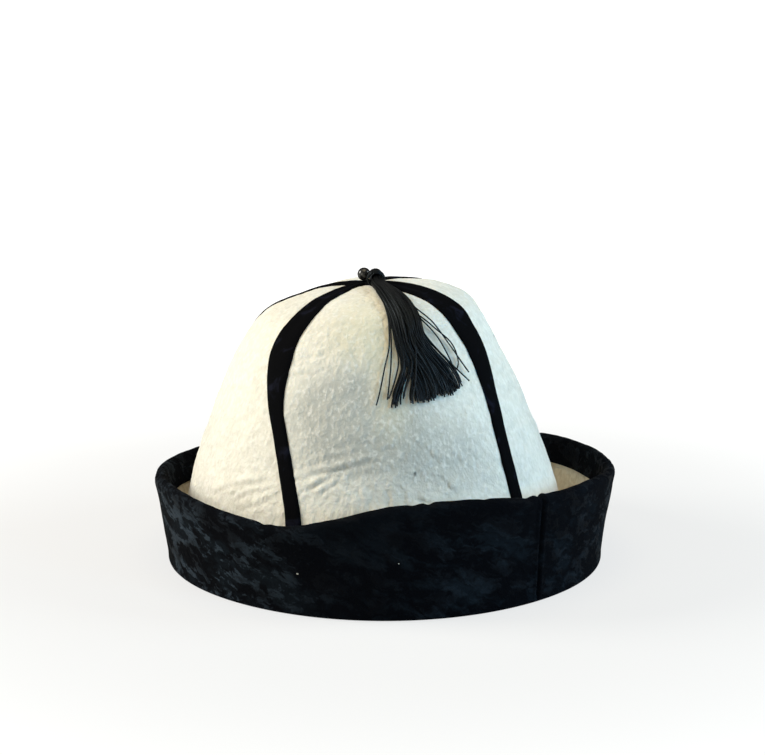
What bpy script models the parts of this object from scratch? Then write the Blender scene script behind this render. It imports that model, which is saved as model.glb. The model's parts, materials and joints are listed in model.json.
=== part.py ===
# Kalpak: a felt dome of four gores with velvet ribbons over its seams, a bead and a tassel
# on its crest, and a felt brim turned up all round and covered in crushed velvet.
# Metres, +Z up. The origin is on the floor under the middle of the brim, and -Y is the front.
# Azimuth is turned from the front (-Y) towards +X.

from bisect import bisect_right
from functools import lru_cache
from math import cos, degrees, exp, hypot, pi, radians, sin, tan

import bmesh
import bpy
import numpy as np
from mathutils import Vector

# Felt and velvet as bought
FELT_WALL = 0.0030
VELVET_WALL = 0.0010
RIBBON_WALL = 0.0010
SEAT_GAP = 0.0003  # left between pieces that touch

# Crown
HEM_RADIUS = 0.0979  # outside of the felt at the hem
CROWN_HEIGHT = 0.1274  # hem to crest
CROWN_LEAN = 0.0098  # how far the crest stands to the left of the hem's middle
CROWN_TILT = 4.6  # degrees by which the top of the crown tips to the left
GORE_PUFF = 0.0024  # how far a gore's middle stands out from its seams
HEM_FLATS = 0.012  # share by which the hem is drawn in between front, sides and back
HEM_SQUARING = 0.012  # height over which the cut edge of the hem turns level
CREST_HOLE = 0.0018  # radius at which the gores' points stop

# Brim
BRIM_HEIGHT = 0.0460  # mean height of the turned-up edge
BRIM_FLARE = 0.0058  # how far that edge leans out from the fold
BRIM_BELLY = -0.0003  # curve of the brim half way up, outward where positive
BRIM_ROOM = 0.0008  # between the ribbons' ends and the inside of the brim
FOLD_BEND = 0.0020  # radius of the felt's middle line round the bottom fold
FOLD_PRESS = 0.82  # how far the outside of that fold is pressed out to a corner
FACING_DEPTH = 0.0110  # velvet turned down inside the brim
BAND_SEAM_AZIMUTH = 39.0  # where the ends of the velvet band are joined
BAND_SEAM_PULL = 0.0009  # how far that seam draws the brim in
BAND_SEAM_SPREAD = 2.2  # degrees

# Ribbons
RIBBON_WIDTH = 0.0134  # at the widest, over the shoulder
RIBBON_MITRE = 38.0  # degrees each side at the crest
RIBBON_END_LIFT = 0.0012  # the ribbon's cut end above the hem

# Bead and tassel
BEAD_RADIUS = 0.0031
KNOT_RADIUS = 0.0033
KNOT_AZIMUTH = 50.0
TASSEL_REACH = 0.0880  # crest to the tassel's cut ends, along the felt
TASSEL_DEPTH = 0.0032  # thickness of its locks
TASSEL_REST = 0.0008  # its underside above the felt
LOCK_GAP = 0.22  # share of a lock's width left between two locks at their ends

# How finely the solids are faceted
CROWN_ROWS = 16
GORE_COLUMNS = 12
BRIM_COLUMNS = 60
TASSEL_ROWS = 11
LOOSE_ROWS = 3  # rows over which the locks hang apart

# A section of the crown for each row, hem to crest. Height is a share of CROWN_HEIGHT, radius
# of HEM_RADIUS, lean of CROWN_LEAN, tilt of CROWN_TILT and puff of GORE_PUFF.
CROWN_SECTIONS = {
    "height": (0.000, 0.155, 0.312, 0.470, 0.628, 0.762, 0.855, 0.918, 0.958, 0.981, 0.994, 1.000),
    "radius": (1.000, 0.930, 0.870, 0.798, 0.720, 0.638, 0.560, 0.478, 0.352, 0.238, 0.125, 0.000),
    "lean": (0.00, 0.50, 0.60, 0.64, 0.70, 0.78, 0.78, 0.72, 0.75, 0.82, 0.92, 1.00),
    "tilt": (0.00, 0.00, 0.00, 0.00, 0.05, 0.15, 0.35, 0.70, 1.00, 1.00, 1.00, 1.00),
    "puff": (0.00, 0.05, 0.10, 0.10, 0.00, -0.10, 0.20, 0.70, 1.00, 0.80, 0.40, 0.00),
}
CROWN_SECTIONS["way"] = tuple(row / 11 for row in range(12))

# Azimuth in degrees of each seam up the crown, hem to crest
SEAM_TURNS = {
    "height": (0.00, 0.28, 0.50, 0.65, 0.81, 0.93, 0.97, 1.00),
    "front_left": (-21.5, -24.0, -31.0, -37.5, -42.0, -43.5, -47.0, -46.0),
    "front_right": (49.0, 50.0, 51.0, 53.0, 56.5, 54.5, 55.0, 60.0),
    "back_right": (145.0, 145.0, 144.0, 143.0, 141.0, 140.0, 140.0, 140.0),
    "back_left": (-118.0, -118.0, -117.0, -115.0, -112.0, -109.0, -111.0, -122.0),
}
SEAMS = ("front_left", "front_right", "back_right", "back_left")

# A gore lies between two neighbouring seams
GORES = {
    "gore_front": ("front_left", "front_right"),
    "gore_right": ("front_right", "back_right"),
    "gore_back": ("back_right", "back_left"),
    "gore_left": ("back_left", "front_left"),
}

# Width of a ribbon along its length, hem to crest, as a share of RIBBON_WIDTH. One ribbon lies
# flatter over the shoulder and has a column of its own.
RIBBON_SECTIONS = {
    "height": (0.00, 0.28, 0.52, 0.64, 0.74, 0.82, 0.93, 0.98, 1.00),
    "width": (0.60, 0.57, 0.57, 0.66, 0.90, 1.00, 0.88, 0.66, 0.45),
    "front_right": (0.60, 0.57, 0.57, 0.66, 0.90, 1.06, 1.14, 0.92, 0.58),
}

# Broad dents in the felt. Depth is a share of FELT_WALL, spread and rise are the half widths
# round the crown in degrees and up it as a share of CROWN_HEIGHT.
DENTS = (
    {"azimuth": -28.0, "height": 0.79, "spread": 11.0, "rise": 0.055, "depth": 0.45},
    {"azimuth": -12.0, "height": 0.44, "spread": 16.0, "rise": 0.050, "depth": 0.40},
    {"azimuth": 30.0, "height": 0.45, "spread": 13.0, "rise": 0.090, "depth": 0.35},
    {"azimuth": -65.0, "height": 0.25, "spread": 18.0, "rise": 0.050, "depth": 0.40},
    {"azimuth": 75.0, "height": 0.60, "spread": 12.0, "rise": 0.110, "depth": 0.40},
    {"azimuth": 178.0, "height": 0.50, "spread": 22.0, "rise": 0.120, "depth": 0.45},
)

# The turned-up edge round the hat. Height is a share of BRIM_HEIGHT, flare of BRIM_FLARE.
BRIM_STATIONS = {
    "azimuth": (-180, -150, -119, -92, -66, -45, -24, -12, 1, 20, 38, 63, 93, 121, 150, 180),
    "height": (0.89, 0.87, 0.86, 0.92, 0.98, 0.96, 0.92, 1.02, 1.15, 1.19, 1.13, 1.09, 0.98,
               0.94, 0.90, 0.89),
    "flare": (1.00, 1.05, 1.00, 0.98, 1.00, 1.10, 1.20, 1.05, 0.95, 0.95, 1.05, 1.00, 1.00,
              1.05, 1.00, 1.00),
}

# Azimuths of the tassel's two sides, knot to ends
TASSEL_SIDES = {
    "share": (0.00, 0.12, 0.30, 0.52, 1.00),
    "left": (26.0, 17.0, 12.0, 13.0, 8.0),
    "right": (74.0, 47.0, 30.0, 27.0, 38.5),
}

# How far each lock reaches, left to right, as a share of TASSEL_REACH
LOCK_REACHES = (1.00, 1.01, 1.01, 1.00, 0.99, 0.96)

# Section of a lock from side to side, its height as a share of TASSEL_DEPTH
LOCK_SECTION = {"place": (0.0, 0.28, 0.72, 1.0), "height": (0.45, 1.0, 1.0, 0.45)}

# Places that follow from the sizes above
BRIM_FOOT = VELVET_WALL + SEAT_GAP + FELT_WALL / 2  # height of the felt flange's middle line
HEM_LIFT = VELVET_WALL + SEAT_GAP + FELT_WALL + SEAT_GAP
FOLD_ROOM = SEAT_GAP + RIBBON_WALL + BRIM_ROOM  # between hem and brim, for the ribbons' ends
CREST = Vector((-CROWN_LEAN, 0.0, HEM_LIFT + CROWN_HEIGHT))
RIBBON_TOP = CREST.z + SEAT_GAP + RIBBON_WALL

# Colour, roughness and metallic value of each material
FINISHES = {
    "white_felt": ((0.80, 0.78, 0.68), 0.95, 0.0),
    "crushed_velvet": ((0.012, 0.016, 0.022), 0.75, 0.0),
    "ribbon_velvet": ((0.010, 0.010, 0.012), 0.80, 0.0),
    "black_bead": ((0.015, 0.015, 0.016), 0.35, 0.0),
    "black_thread": ((0.012, 0.012, 0.013), 0.45, 0.0),
}


def smooth(table, column, place, along="height", loop=False):
    """Value of a table's column at a place, on a smooth curve through its rows."""
    marks, values = table[along], table[column]
    last = len(marks) - 1
    row = min(max(bisect_right(marks, place) - 1, 0), last - 1)

    def slope(i):
        low, high = max(i - 1, 0), min(i + 1, last)
        if loop and i in (0, last):
            span = (marks[1] - marks[0]) + (marks[last] - marks[last - 1])
            return (values[1] - values[last - 1]) / span
        return (values[high] - values[low]) / (marks[high] - marks[low])

    step = marks[row + 1] - marks[row]
    t = (place - marks[row]) / step
    rise = values[row + 1] - values[row]
    start, end = slope(row) * step, slope(row + 1) * step
    return values[row] + t * (start + t * (3 * rise - 2 * start - end + t * (start + end - 2 * rise)))


def section(column, way):
    """A column of CROWN_SECTIONS at a share of the way from hem to crest."""
    return smooth(CROWN_SECTIONS, column, way, along="way")


def hem_share(azimuth):
    """Outline of the hem seen from above, as a share of its radius."""
    return 1 - HEM_FLATS * sin(2 * radians(azimuth)) ** 2


def outward(azimuth):
    return Vector((sin(radians(azimuth)), -cos(radians(azimuth)), 0.0))


def dent_depth(azimuth, height):
    total = 0.0
    for dent in DENTS:
        turn = (azimuth - dent["azimuth"] + 180) % 360 - 180
        away = (turn / dent["spread"]) ** 2 + ((height - dent["height"]) / dent["rise"]) ** 2
        total += dent["depth"] * FELT_WALL * exp(-away)
    return total


def seam_azimuth(seam, way):
    return smooth(SEAM_TURNS, seam, section("height", way))


def gore_share(azimuth, way):
    """Where an azimuth lies across its gore, 0 at one seam and 1 at the next."""
    for first, second in GORES.values():
        start = seam_azimuth(first, way)
        width = (seam_azimuth(second, way) - start) % 360
        across = (azimuth - start) % 360
        if across <= width:
            return across / width
    return 0.0


def profile_normal(way):
    """Outward direction of the crown's profile, as (out, up)."""
    step = 0.004
    low, high = max(way - step, 0.0), min(way + step, 1.0)
    run = HEM_RADIUS * (section("radius", high) - section("radius", low))
    rise = CROWN_HEIGHT * (section("height", high) - section("height", low))
    length = hypot(run, rise)
    return rise / length, -run / length


def crown_point(azimuth, way, proud=0.0):
    """A point of the felt's outside, or proud of it, at an azimuth and a share of the way up."""
    height = section("height", way)
    outline = 1 + (hem_share(azimuth) - 1) * (1 - min(way * 4, 1)) ** 2
    radius = HEM_RADIUS * section("radius", way) * outline
    across = gore_share(azimuth, way)
    puff = GORE_PUFF * section("puff", way) * 4 * across * (1 - across)
    lift = puff - dent_depth(azimuth, height) + proud
    out, up = profile_normal(way)
    level = min(height * CROWN_HEIGHT / HEM_SQUARING, 1.0)
    length = hypot(out, up * level)
    direction = outward(azimuth) * (out / length) + Vector((0, 0, up * level / length))
    middle = Vector((-CROWN_LEAN * section("lean", way), 0, HEM_LIFT + CROWN_HEIGHT * height))
    point = middle + outward(azimuth) * radius + direction * lift
    point.z += (point.x - middle.x) * tan(radians(CROWN_TILT * section("tilt", way)))
    return point


def make_object(name, points, faces, finish):
    """An object from a list of points and faces, flat where it is cut and smooth elsewhere."""
    mesh = bpy.data.meshes.new(name)
    mesh.from_pydata([tuple(p) for p in points], [], faces)
    bm = bmesh.new()
    bm.from_mesh(mesh)
    bmesh.ops.recalc_face_normals(bm, faces=bm.faces)
    bm.to_mesh(mesh)
    bm.free()
    mesh.shade_smooth()
    mesh.set_sharp_from_angle(angle=radians(40))
    mesh.materials.append(bpy.data.materials[finish])
    made = bpy.data.objects.new(name, mesh)
    bpy.context.scene.collection.objects.link(made)
    return made


def slab_faces(rows, columns, keep=lambda row, column: True):
    """Faces of a curved slab whose points are two grids, outside then inside, row by row."""
    inside = rows * columns
    outer = []
    for r in range(rows - 1):
        for c in range(columns - 1):
            if keep(r, c):
                corner = r * columns + c
                outer.append([corner, corner + 1, corner + columns + 1, corner + columns])
    edges = {(quad[i], quad[(i + 1) % 4]) for quad in outer for i in range(4)}
    rim = [(a, b) for a, b in sorted(edges) if (b, a) not in edges]
    faces = outer + [[inside + i for i in reversed(quad)] for quad in outer]
    return faces + [[b, a, inside + a, inside + b] for a, b in rim]


def ways_up(rows, last):
    """Shares of the way up the crown, evenly spaced, hem first."""
    return [last * r / rows for r in range(rows + 1)]


def last_way(radius):
    """Share of the way up the crown at which its profile has come in to a radius."""
    ways = np.linspace(0.8, 1.0, 400)
    radii = [HEM_RADIUS * section("radius", way) for way in ways]
    return float(ways[int(np.argmin(np.abs(np.array(radii) - radius)))])


def build_gore(name, first, second):
    """One gore of felt, cut back by half a gap at each of its seams."""
    ways = ways_up(CROWN_ROWS, last_way(CREST_HOLE))
    outside, inside = [], []
    for way in ways:
        start = seam_azimuth(first, way)
        width = (seam_azimuth(second, way) - start) % 360
        for c in range(GORE_COLUMNS + 1):
            azimuth = start + width * c / GORE_COLUMNS
            along_hem = Vector((-outward(azimuth).y, outward(azimuth).x, 0.0))
            cut = {0: SEAT_GAP / 2, GORE_COLUMNS: -SEAT_GAP / 2}.get(c, 0.0)
            outside.append(crown_point(azimuth, way) + along_hem * cut)
            inside.append(crown_point(azimuth, way, -FELT_WALL) + along_hem * cut)
    faces = slab_faces(len(ways), GORE_COLUMNS + 1)
    return make_object(name, outside + inside, faces, "white_felt")


def ribbon_width(seam, way):
    """Width of a ribbon at a share of the way up, mitred where the four meet at the crest."""
    radius = HEM_RADIUS * section("radius", way)
    column = seam if seam in RIBBON_SECTIONS else "width"
    width = RIBBON_WIDTH * smooth(RIBBON_SECTIONS, column, section("height", way))
    return min(width, 2 * (radius * tan(radians(RIBBON_MITRE)) - SEAT_GAP))


def ribbon_cover(azimuth, way, reach):
    """1 within a reach of a ribbon, falling to 0 over as much again."""
    radius = HEM_RADIUS * section("radius", way)
    cover = 0.0
    for seam in SEAMS:
        turn = (azimuth - seam_azimuth(seam, way) + 180) % 360 - 180
        away = abs(radians(turn)) * radius - ribbon_width(seam, way) / 2
        cover = max(cover, min(max(2 - away / reach, 0.0), 1.0))
    return cover


def build_ribbon(seam):
    """A ribbon laid over one seam, from the hem to a mitred point at the crest."""
    shares = (-0.5, -0.25, 0.0, 0.25, 0.5)
    ways = ways_up(CROWN_ROWS, last_way(CREST_HOLE))
    ways[0] = ways[1] * RIBBON_END_LIFT / (CROWN_HEIGHT * section("height", ways[1]))
    outside, inside = [], []
    for way in ways:
        radius = HEM_RADIUS * section("radius", way)
        width = ribbon_width(seam, way)
        for share in shares:
            azimuth = seam_azimuth(seam, way) + degrees(share * width / radius)
            outside.append(crown_point(azimuth, way, SEAT_GAP + RIBBON_WALL))
            inside.append(crown_point(azimuth, way, SEAT_GAP))
    faces = slab_faces(len(ways), len(shares))
    return make_object("ribbon_" + seam, outside + inside, faces, "ribbon_velvet")


def brim_path(azimuth):
    """Middle line of the brim's felt at an azimuth, as (radius, height) from flange to edge."""
    share = hem_share(azimuth)
    hem = HEM_RADIUS * share
    turn = (azimuth - BAND_SEAM_AZIMUTH) / BAND_SEAM_SPREAD
    pull = BAND_SEAM_PULL * exp(-turn * turn)
    wall = hem + FOLD_ROOM + FELT_WALL / 2
    edge = BRIM_HEIGHT * smooth(BRIM_STATIONS, "height", azimuth, "azimuth", True)
    edge -= FELT_WALL / 2 + SEAT_GAP + VELVET_WALL
    top = HEM_RADIUS + FOLD_ROOM + FELT_WALL / 2
    top += BRIM_FLARE * smooth(BRIM_STATIONS, "flare", azimuth, "azimuth", True)
    path = [(hem - FELT_WALL + FELT_WALL / 2, BRIM_FOOT)]
    for angle in (0.0, 45.0, 90.0):
        a = radians(angle)
        path.append((wall - FOLD_BEND + FOLD_BEND * sin(a), BRIM_FOOT + FOLD_BEND * (1 - cos(a))))
    start = path[-1][1]
    for share_up in (1 / 3, 2 / 3, 1.0):
        curve = BRIM_BELLY * 4 * share_up * (1 - share_up)
        radius = wall + (top - wall) * share_up + curve - pull * share_up
        path.append((radius, start + (edge - start) * share_up))
    return path


def path_normals(path):
    """Direction to the outside of the brim at each point of its path."""
    normals = []
    for i in range(len(path)):
        before, after = path[max(i - 1, 0)], path[min(i + 1, len(path) - 1)]
        run, rise = after[0] - before[0], after[1] - before[1]
        length = hypot(run, rise)
        normals.append((rise / length, -run / length))
    return normals


def offset_path(path, distance):
    """The path moved sideways, out of the brim where distance is positive."""
    moved = []
    for (radius, height), (out, up) in zip(path, path_normals(path)):
        moved.append((radius + out * distance, height + up * distance))
    moved[0] = (path[0][0], path[0][1] - distance)
    moved[1] = (path[1][0], path[1][1] - distance)
    if distance > 0:
        pressed = distance * FOLD_PRESS
        moved[2] = (path[3][0] + pressed, path[0][1] - pressed)
    return moved


def ring_object(name, loops, azimuths, finish):
    """A ring whose section at each azimuth is a closed loop of (radius, height) points."""
    count = len(loops[0])
    points = []
    for azimuth, loop in zip(azimuths, loops):
        points += [outward(azimuth) * radius + Vector((0, 0, height)) for radius, height in loop]
    faces = []
    for s in range(len(loops)):
        here, there = s * count, (s + 1) % len(loops) * count
        for i in range(count):
            j = (i + 1) % count
            faces.append([here + i, here + j, there + j, there + i])
    return make_object(name, points, faces, finish)


def brim_azimuths():
    """Even steps round the brim, with closer ones at the velvet band's seam."""
    even = [-180 + 360 * i / BRIM_COLUMNS for i in range(BRIM_COLUMNS)]
    near = [BAND_SEAM_AZIMUTH + BAND_SEAM_SPREAD * k * 0.7 for k in (-2, -1, 0, 1, 2)]
    clear = 2 * BAND_SEAM_SPREAD
    return sorted([a for a in even if abs(a - BAND_SEAM_AZIMUTH) > clear] + near)


def build_brim_felt():
    """The brim's felt: a flange under the hem, a fold, and a wall turned up."""
    azimuths, loops = brim_azimuths(), []
    for azimuth in azimuths:
        path = brim_path(azimuth)
        outer = offset_path(path, FELT_WALL / 2)
        inner = offset_path(path, -FELT_WALL / 2)
        loops.append(outer + inner[::-1])
    return ring_object("brim_felt", loops, azimuths, "white_felt")


def edge_cap(path, distance):
    """Points round the brim's edge, from outside to inside, at a distance from its middle."""
    radius, height = path[-1]
    out, up = path_normals(path)[-1]
    points = []
    for angle in (60.0, 120.0):
        side, over = cos(radians(angle)), sin(radians(angle))
        points.append((radius + distance * (out * side - up * over),
                       height + distance * (up * side + out * over)))
    return points


def facing_end(path, distance):
    """The facing's lower end, on the inside of the brim's wall."""
    (low_r, low_z), (high_r, high_z) = path[-2], path[-1]
    share = FACING_DEPTH / hypot(high_r - low_r, high_z - low_z)
    out, up = path_normals(path)[-1]
    radius = high_r + (low_r - high_r) * share - out * distance
    height = high_z + (low_z - high_z) * share - up * distance
    return radius, height


def build_brim_velvet():
    """Velvet under the flange, up the outside, over the edge and down the facing."""
    near = FELT_WALL / 2 + SEAT_GAP
    far = near + VELVET_WALL
    azimuths, loops = brim_azimuths(), []
    for azimuth in azimuths:
        path = brim_path(azimuth)
        skins = []
        for distance in (far, near):
            skin = offset_path(path, distance) + edge_cap(path, distance)
            skin.append(offset_path(path, -distance)[-1])
            skin.append(facing_end(path, distance))
            skins.append(skin)
        loops.append(skins[0] + skins[1][::-1])
    return ring_object("brim_velvet", loops, azimuths, "crushed_velvet")


def turned_ball(name, centre, radius, finish, columns=14, rows=8):
    bm = bmesh.new()
    bmesh.ops.create_uvsphere(bm, u_segments=columns, v_segments=rows, radius=radius)
    mesh = bpy.data.meshes.new(name)
    bm.to_mesh(mesh)
    bm.free()
    mesh.shade_smooth()
    mesh.materials.append(bpy.data.materials[finish])
    made = bpy.data.objects.new(name, mesh)
    made.location = centre
    bpy.context.scene.collection.objects.link(made)
    return made


def build_bead():
    """The bead stands on the ribbons' points at the crest."""
    centre = Vector((CREST.x, CREST.y, RIBBON_TOP + SEAT_GAP + BEAD_RADIUS))
    return turned_ball("crest_bead", centre, BEAD_RADIUS, "black_bead")


def knot_centre():
    """The tassel's knot lies beside the bead, on the ribbon."""
    reach = BEAD_RADIUS + KNOT_RADIUS + 2 * SEAT_GAP
    height = RIBBON_TOP + SEAT_GAP + KNOT_RADIUS
    return Vector((CREST.x, CREST.y, 0)) + outward(KNOT_AZIMUTH) * reach + Vector((0, 0, height))


@lru_cache
def reaches():
    """Lengths along the felt from the crest down to each of many ways up the crown."""
    ways = np.linspace(1.0, 0.0, 201)
    places = [(HEM_RADIUS * section("radius", way), CROWN_HEIGHT * section("height", way))
              for way in ways]
    steps = np.hypot(*np.diff(np.array(places), axis=0).T)
    return np.concatenate(([0.0], np.cumsum(steps))), ways


def way_at_reach(reach):
    """Share of the way up at which the felt lies a reach from the crest."""
    return float(np.interp(reach, *reaches()))


def tassel_point(across, share, reach, height):
    """A point of the tassel: across it, along it, and a share of its depth over its underside."""
    knot = knot_centre()
    start = hypot(knot.x - CREST.x, knot.y - CREST.y)
    way = way_at_reach(start + (TASSEL_REACH * reach - start) * share)
    left, right = (smooth(TASSEL_SIDES, side, share, "share") for side in ("left", "right"))

    def on_felt(place, lift):
        azimuth = left + (right - left) * place
        rest = TASSEL_REST + (SEAT_GAP + RIBBON_WALL) * ribbon_cover(azimuth, way, 0.0015)
        return crown_point(azimuth, way, rest + TASSEL_DEPTH * lift)

    drawn = max(1 - share / 0.2, 0.0) ** 1.5
    point = on_felt(across, height)
    gathered = knot + outward(KNOT_AZIMUTH) * KNOT_RADIUS * 0.3
    gathered += (point - on_felt(0.5, 0.5)) * 0.6
    return point.lerp(gathered, drawn)


def build_tassel():
    """The knot and its locks, fused into one body; the locks hang apart near their ends."""
    count, places = len(LOCK_REACHES), len(LOCK_SECTION["place"])
    over, under = [], []
    for r in range(TASSEL_ROWS):
        share = r / (TASSEL_ROWS - 1)
        gap = LOCK_GAP * (0.2 + 0.8 * share)
        for number, reach in enumerate(LOCK_REACHES):
            for place, height in zip(LOCK_SECTION["place"], LOCK_SECTION["height"]):
                across = (number + gap / 2 + place * (1 - gap)) / count
                over.append(tassel_point(across, share, reach, height))
                under.append(tassel_point(across, share, reach, 0.0))

    def keep(row, column):
        between = column % places == places - 1
        return not (between and row >= TASSEL_ROWS - 1 - LOOSE_ROWS)

    faces = slab_faces(TASSEL_ROWS, count * places, keep)
    tassel = make_object("tassel", over + under, faces, "black_thread")
    knot = turned_ball("knot", knot_centre(), KNOT_RADIUS, "black_thread", 12, 8)
    knot.hide_render = True
    knot.display_type = "WIRE"
    join = tassel.modifiers.new("join", "BOOLEAN")
    join.operation = "UNION"
    join.solver = "EXACT"
    join.object = knot
    return tassel


def make_materials():
    for name, (colour, roughness, metallic) in FINISHES.items():
        material = bpy.data.materials.new(name)
        material.use_nodes = True
        shader = material.node_tree.nodes["Principled BSDF"]
        shader.inputs["Base Color"].default_value = (*colour, 1.0)
        shader.inputs["Roughness"].default_value = roughness
        shader.inputs["Metallic"].default_value = metallic


def build_kalpak():
    for old in list(bpy.data.objects):
        bpy.data.objects.remove(old)
    make_materials()
    for name, (first, second) in GORES.items():
        build_gore(name, first, second)
    for seam in SEAMS:
        build_ribbon(seam)
    build_brim_felt()
    build_brim_velvet()
    build_bead()
    build_tassel()


build_kalpak()
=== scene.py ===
import json
from math import cos, pi, radians, sin, tan

import bpy
import numpy as np
from mathutils import Vector, noise
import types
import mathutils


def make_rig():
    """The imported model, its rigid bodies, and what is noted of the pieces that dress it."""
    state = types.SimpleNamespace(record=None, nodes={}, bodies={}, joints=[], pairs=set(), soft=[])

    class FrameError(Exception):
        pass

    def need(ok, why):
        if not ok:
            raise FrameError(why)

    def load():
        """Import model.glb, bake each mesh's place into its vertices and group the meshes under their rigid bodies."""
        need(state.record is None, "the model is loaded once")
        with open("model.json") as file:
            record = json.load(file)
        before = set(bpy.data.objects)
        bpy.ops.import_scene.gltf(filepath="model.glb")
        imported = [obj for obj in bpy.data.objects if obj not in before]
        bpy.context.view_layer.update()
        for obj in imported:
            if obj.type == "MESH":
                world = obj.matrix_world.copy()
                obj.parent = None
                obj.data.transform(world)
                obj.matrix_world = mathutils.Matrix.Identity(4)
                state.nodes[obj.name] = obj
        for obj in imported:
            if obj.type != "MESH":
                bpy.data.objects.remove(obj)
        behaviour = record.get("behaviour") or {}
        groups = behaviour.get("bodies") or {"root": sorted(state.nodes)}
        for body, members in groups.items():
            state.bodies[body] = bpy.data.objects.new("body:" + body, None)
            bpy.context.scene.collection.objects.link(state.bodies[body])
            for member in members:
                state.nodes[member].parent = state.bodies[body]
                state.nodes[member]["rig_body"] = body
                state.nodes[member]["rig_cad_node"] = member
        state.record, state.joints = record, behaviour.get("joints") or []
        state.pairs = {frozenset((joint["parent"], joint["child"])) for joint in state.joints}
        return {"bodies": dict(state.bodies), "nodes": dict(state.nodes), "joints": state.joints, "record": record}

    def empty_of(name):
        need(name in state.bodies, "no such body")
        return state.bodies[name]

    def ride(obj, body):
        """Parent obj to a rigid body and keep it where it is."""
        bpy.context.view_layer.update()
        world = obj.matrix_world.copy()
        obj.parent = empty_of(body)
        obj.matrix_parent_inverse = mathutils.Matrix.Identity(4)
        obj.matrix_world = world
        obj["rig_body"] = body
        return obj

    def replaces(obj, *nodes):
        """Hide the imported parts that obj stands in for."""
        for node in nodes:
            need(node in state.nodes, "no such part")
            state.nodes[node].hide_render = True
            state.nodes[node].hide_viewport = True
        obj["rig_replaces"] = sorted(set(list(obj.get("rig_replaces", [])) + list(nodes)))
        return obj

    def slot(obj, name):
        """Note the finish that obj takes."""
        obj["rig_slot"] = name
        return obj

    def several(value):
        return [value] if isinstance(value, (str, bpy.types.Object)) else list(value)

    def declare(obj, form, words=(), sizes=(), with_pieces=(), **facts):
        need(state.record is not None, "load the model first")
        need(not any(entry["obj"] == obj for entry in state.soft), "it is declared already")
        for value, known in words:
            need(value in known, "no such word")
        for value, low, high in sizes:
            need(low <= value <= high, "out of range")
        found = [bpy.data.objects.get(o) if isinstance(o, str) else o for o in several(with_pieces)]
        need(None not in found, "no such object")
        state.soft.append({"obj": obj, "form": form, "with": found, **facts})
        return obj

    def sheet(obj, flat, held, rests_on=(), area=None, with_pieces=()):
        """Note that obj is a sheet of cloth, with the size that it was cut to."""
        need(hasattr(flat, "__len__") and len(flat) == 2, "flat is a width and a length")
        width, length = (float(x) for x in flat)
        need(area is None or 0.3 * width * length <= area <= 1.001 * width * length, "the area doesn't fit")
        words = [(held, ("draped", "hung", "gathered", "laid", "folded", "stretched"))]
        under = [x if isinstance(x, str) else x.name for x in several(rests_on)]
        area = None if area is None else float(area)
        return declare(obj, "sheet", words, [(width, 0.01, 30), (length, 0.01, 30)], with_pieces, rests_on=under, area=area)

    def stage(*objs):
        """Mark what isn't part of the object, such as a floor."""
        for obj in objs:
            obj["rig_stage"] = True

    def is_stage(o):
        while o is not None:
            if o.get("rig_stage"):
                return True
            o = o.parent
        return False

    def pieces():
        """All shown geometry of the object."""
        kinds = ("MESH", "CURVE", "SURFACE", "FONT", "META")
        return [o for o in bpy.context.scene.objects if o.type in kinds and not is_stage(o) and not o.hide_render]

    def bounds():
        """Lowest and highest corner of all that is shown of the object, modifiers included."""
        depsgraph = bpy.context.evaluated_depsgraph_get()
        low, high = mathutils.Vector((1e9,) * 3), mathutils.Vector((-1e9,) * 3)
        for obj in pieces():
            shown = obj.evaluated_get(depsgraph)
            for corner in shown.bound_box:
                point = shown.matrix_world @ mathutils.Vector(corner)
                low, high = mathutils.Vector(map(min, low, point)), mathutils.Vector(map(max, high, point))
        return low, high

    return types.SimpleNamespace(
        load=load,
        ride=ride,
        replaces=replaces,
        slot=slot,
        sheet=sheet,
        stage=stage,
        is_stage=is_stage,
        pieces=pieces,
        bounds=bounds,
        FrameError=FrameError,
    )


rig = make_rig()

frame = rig.load()
solid_box = [list(corner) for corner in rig.bounds()]


# Crown

# Four gores of thick white wool felt, pressed from loose fibre, cut to points and sewn edge to
# edge into a dome that leans a little to the left. Their hem stands in the fold of the brim.
# The felt is soft, with dents and creases from lying folded.

FELT_WALL = 0.0030
SEAT_GAP = 0.0003
HEM_RADIUS = 0.0979  # outside of the felt at the hem
CROWN_HEIGHT = 0.1274  # hem to crest
CROWN_LEAN = 0.0098  # how far the crest stands to the left of the hem's middle
CROWN_TILT = 4.6  # degrees by which the top of the crown tips to the left
GORE_PUFF = 0.0024  # how far a gore's middle stands out from its seams
HEM_FLATS = 0.012  # share by which the hem is drawn in between front, sides and back
HEM_SQUARING = 0.012  # height over which the cut edge of the hem turns level
HEM_LIFT = 0.0046  # the hem above the floor
CREST_HOLE = 0.0018  # radius at which the gores' points stop
# Rows and columns of points over the felt's face
FELT_GRIDS = {
    "gore_front": (250, 196), "gore_left": (230, 184), "gore_right": (184, 150), "gore_back": (130, 110),
}

# Sections from hem to crest: shares of CROWN_HEIGHT, HEM_RADIUS, CROWN_LEAN, CROWN_TILT, GORE_PUFF
CROWN_SECTIONS = {
    "height": (0.000, 0.155, 0.312, 0.470, 0.628, 0.762, 0.855, 0.918, 0.958, 0.981, 0.994, 1.000),
    "radius": (1.000, 0.930, 0.870, 0.798, 0.720, 0.638, 0.560, 0.478, 0.352, 0.238, 0.125, 0.000),
    "lean": (0.00, 0.50, 0.60, 0.64, 0.70, 0.78, 0.78, 0.72, 0.75, 0.82, 0.92, 1.00),
    "tilt": (0.00, 0.00, 0.00, 0.00, 0.05, 0.15, 0.35, 0.70, 1.00, 1.00, 1.00, 1.00),
    "puff": (0.00, 0.05, 0.10, 0.10, 0.00, -0.10, 0.20, 0.70, 1.00, 0.80, 0.40, 0.00),
}
CROWN_SECTIONS["way"] = tuple(row / 11 for row in range(12))

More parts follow.
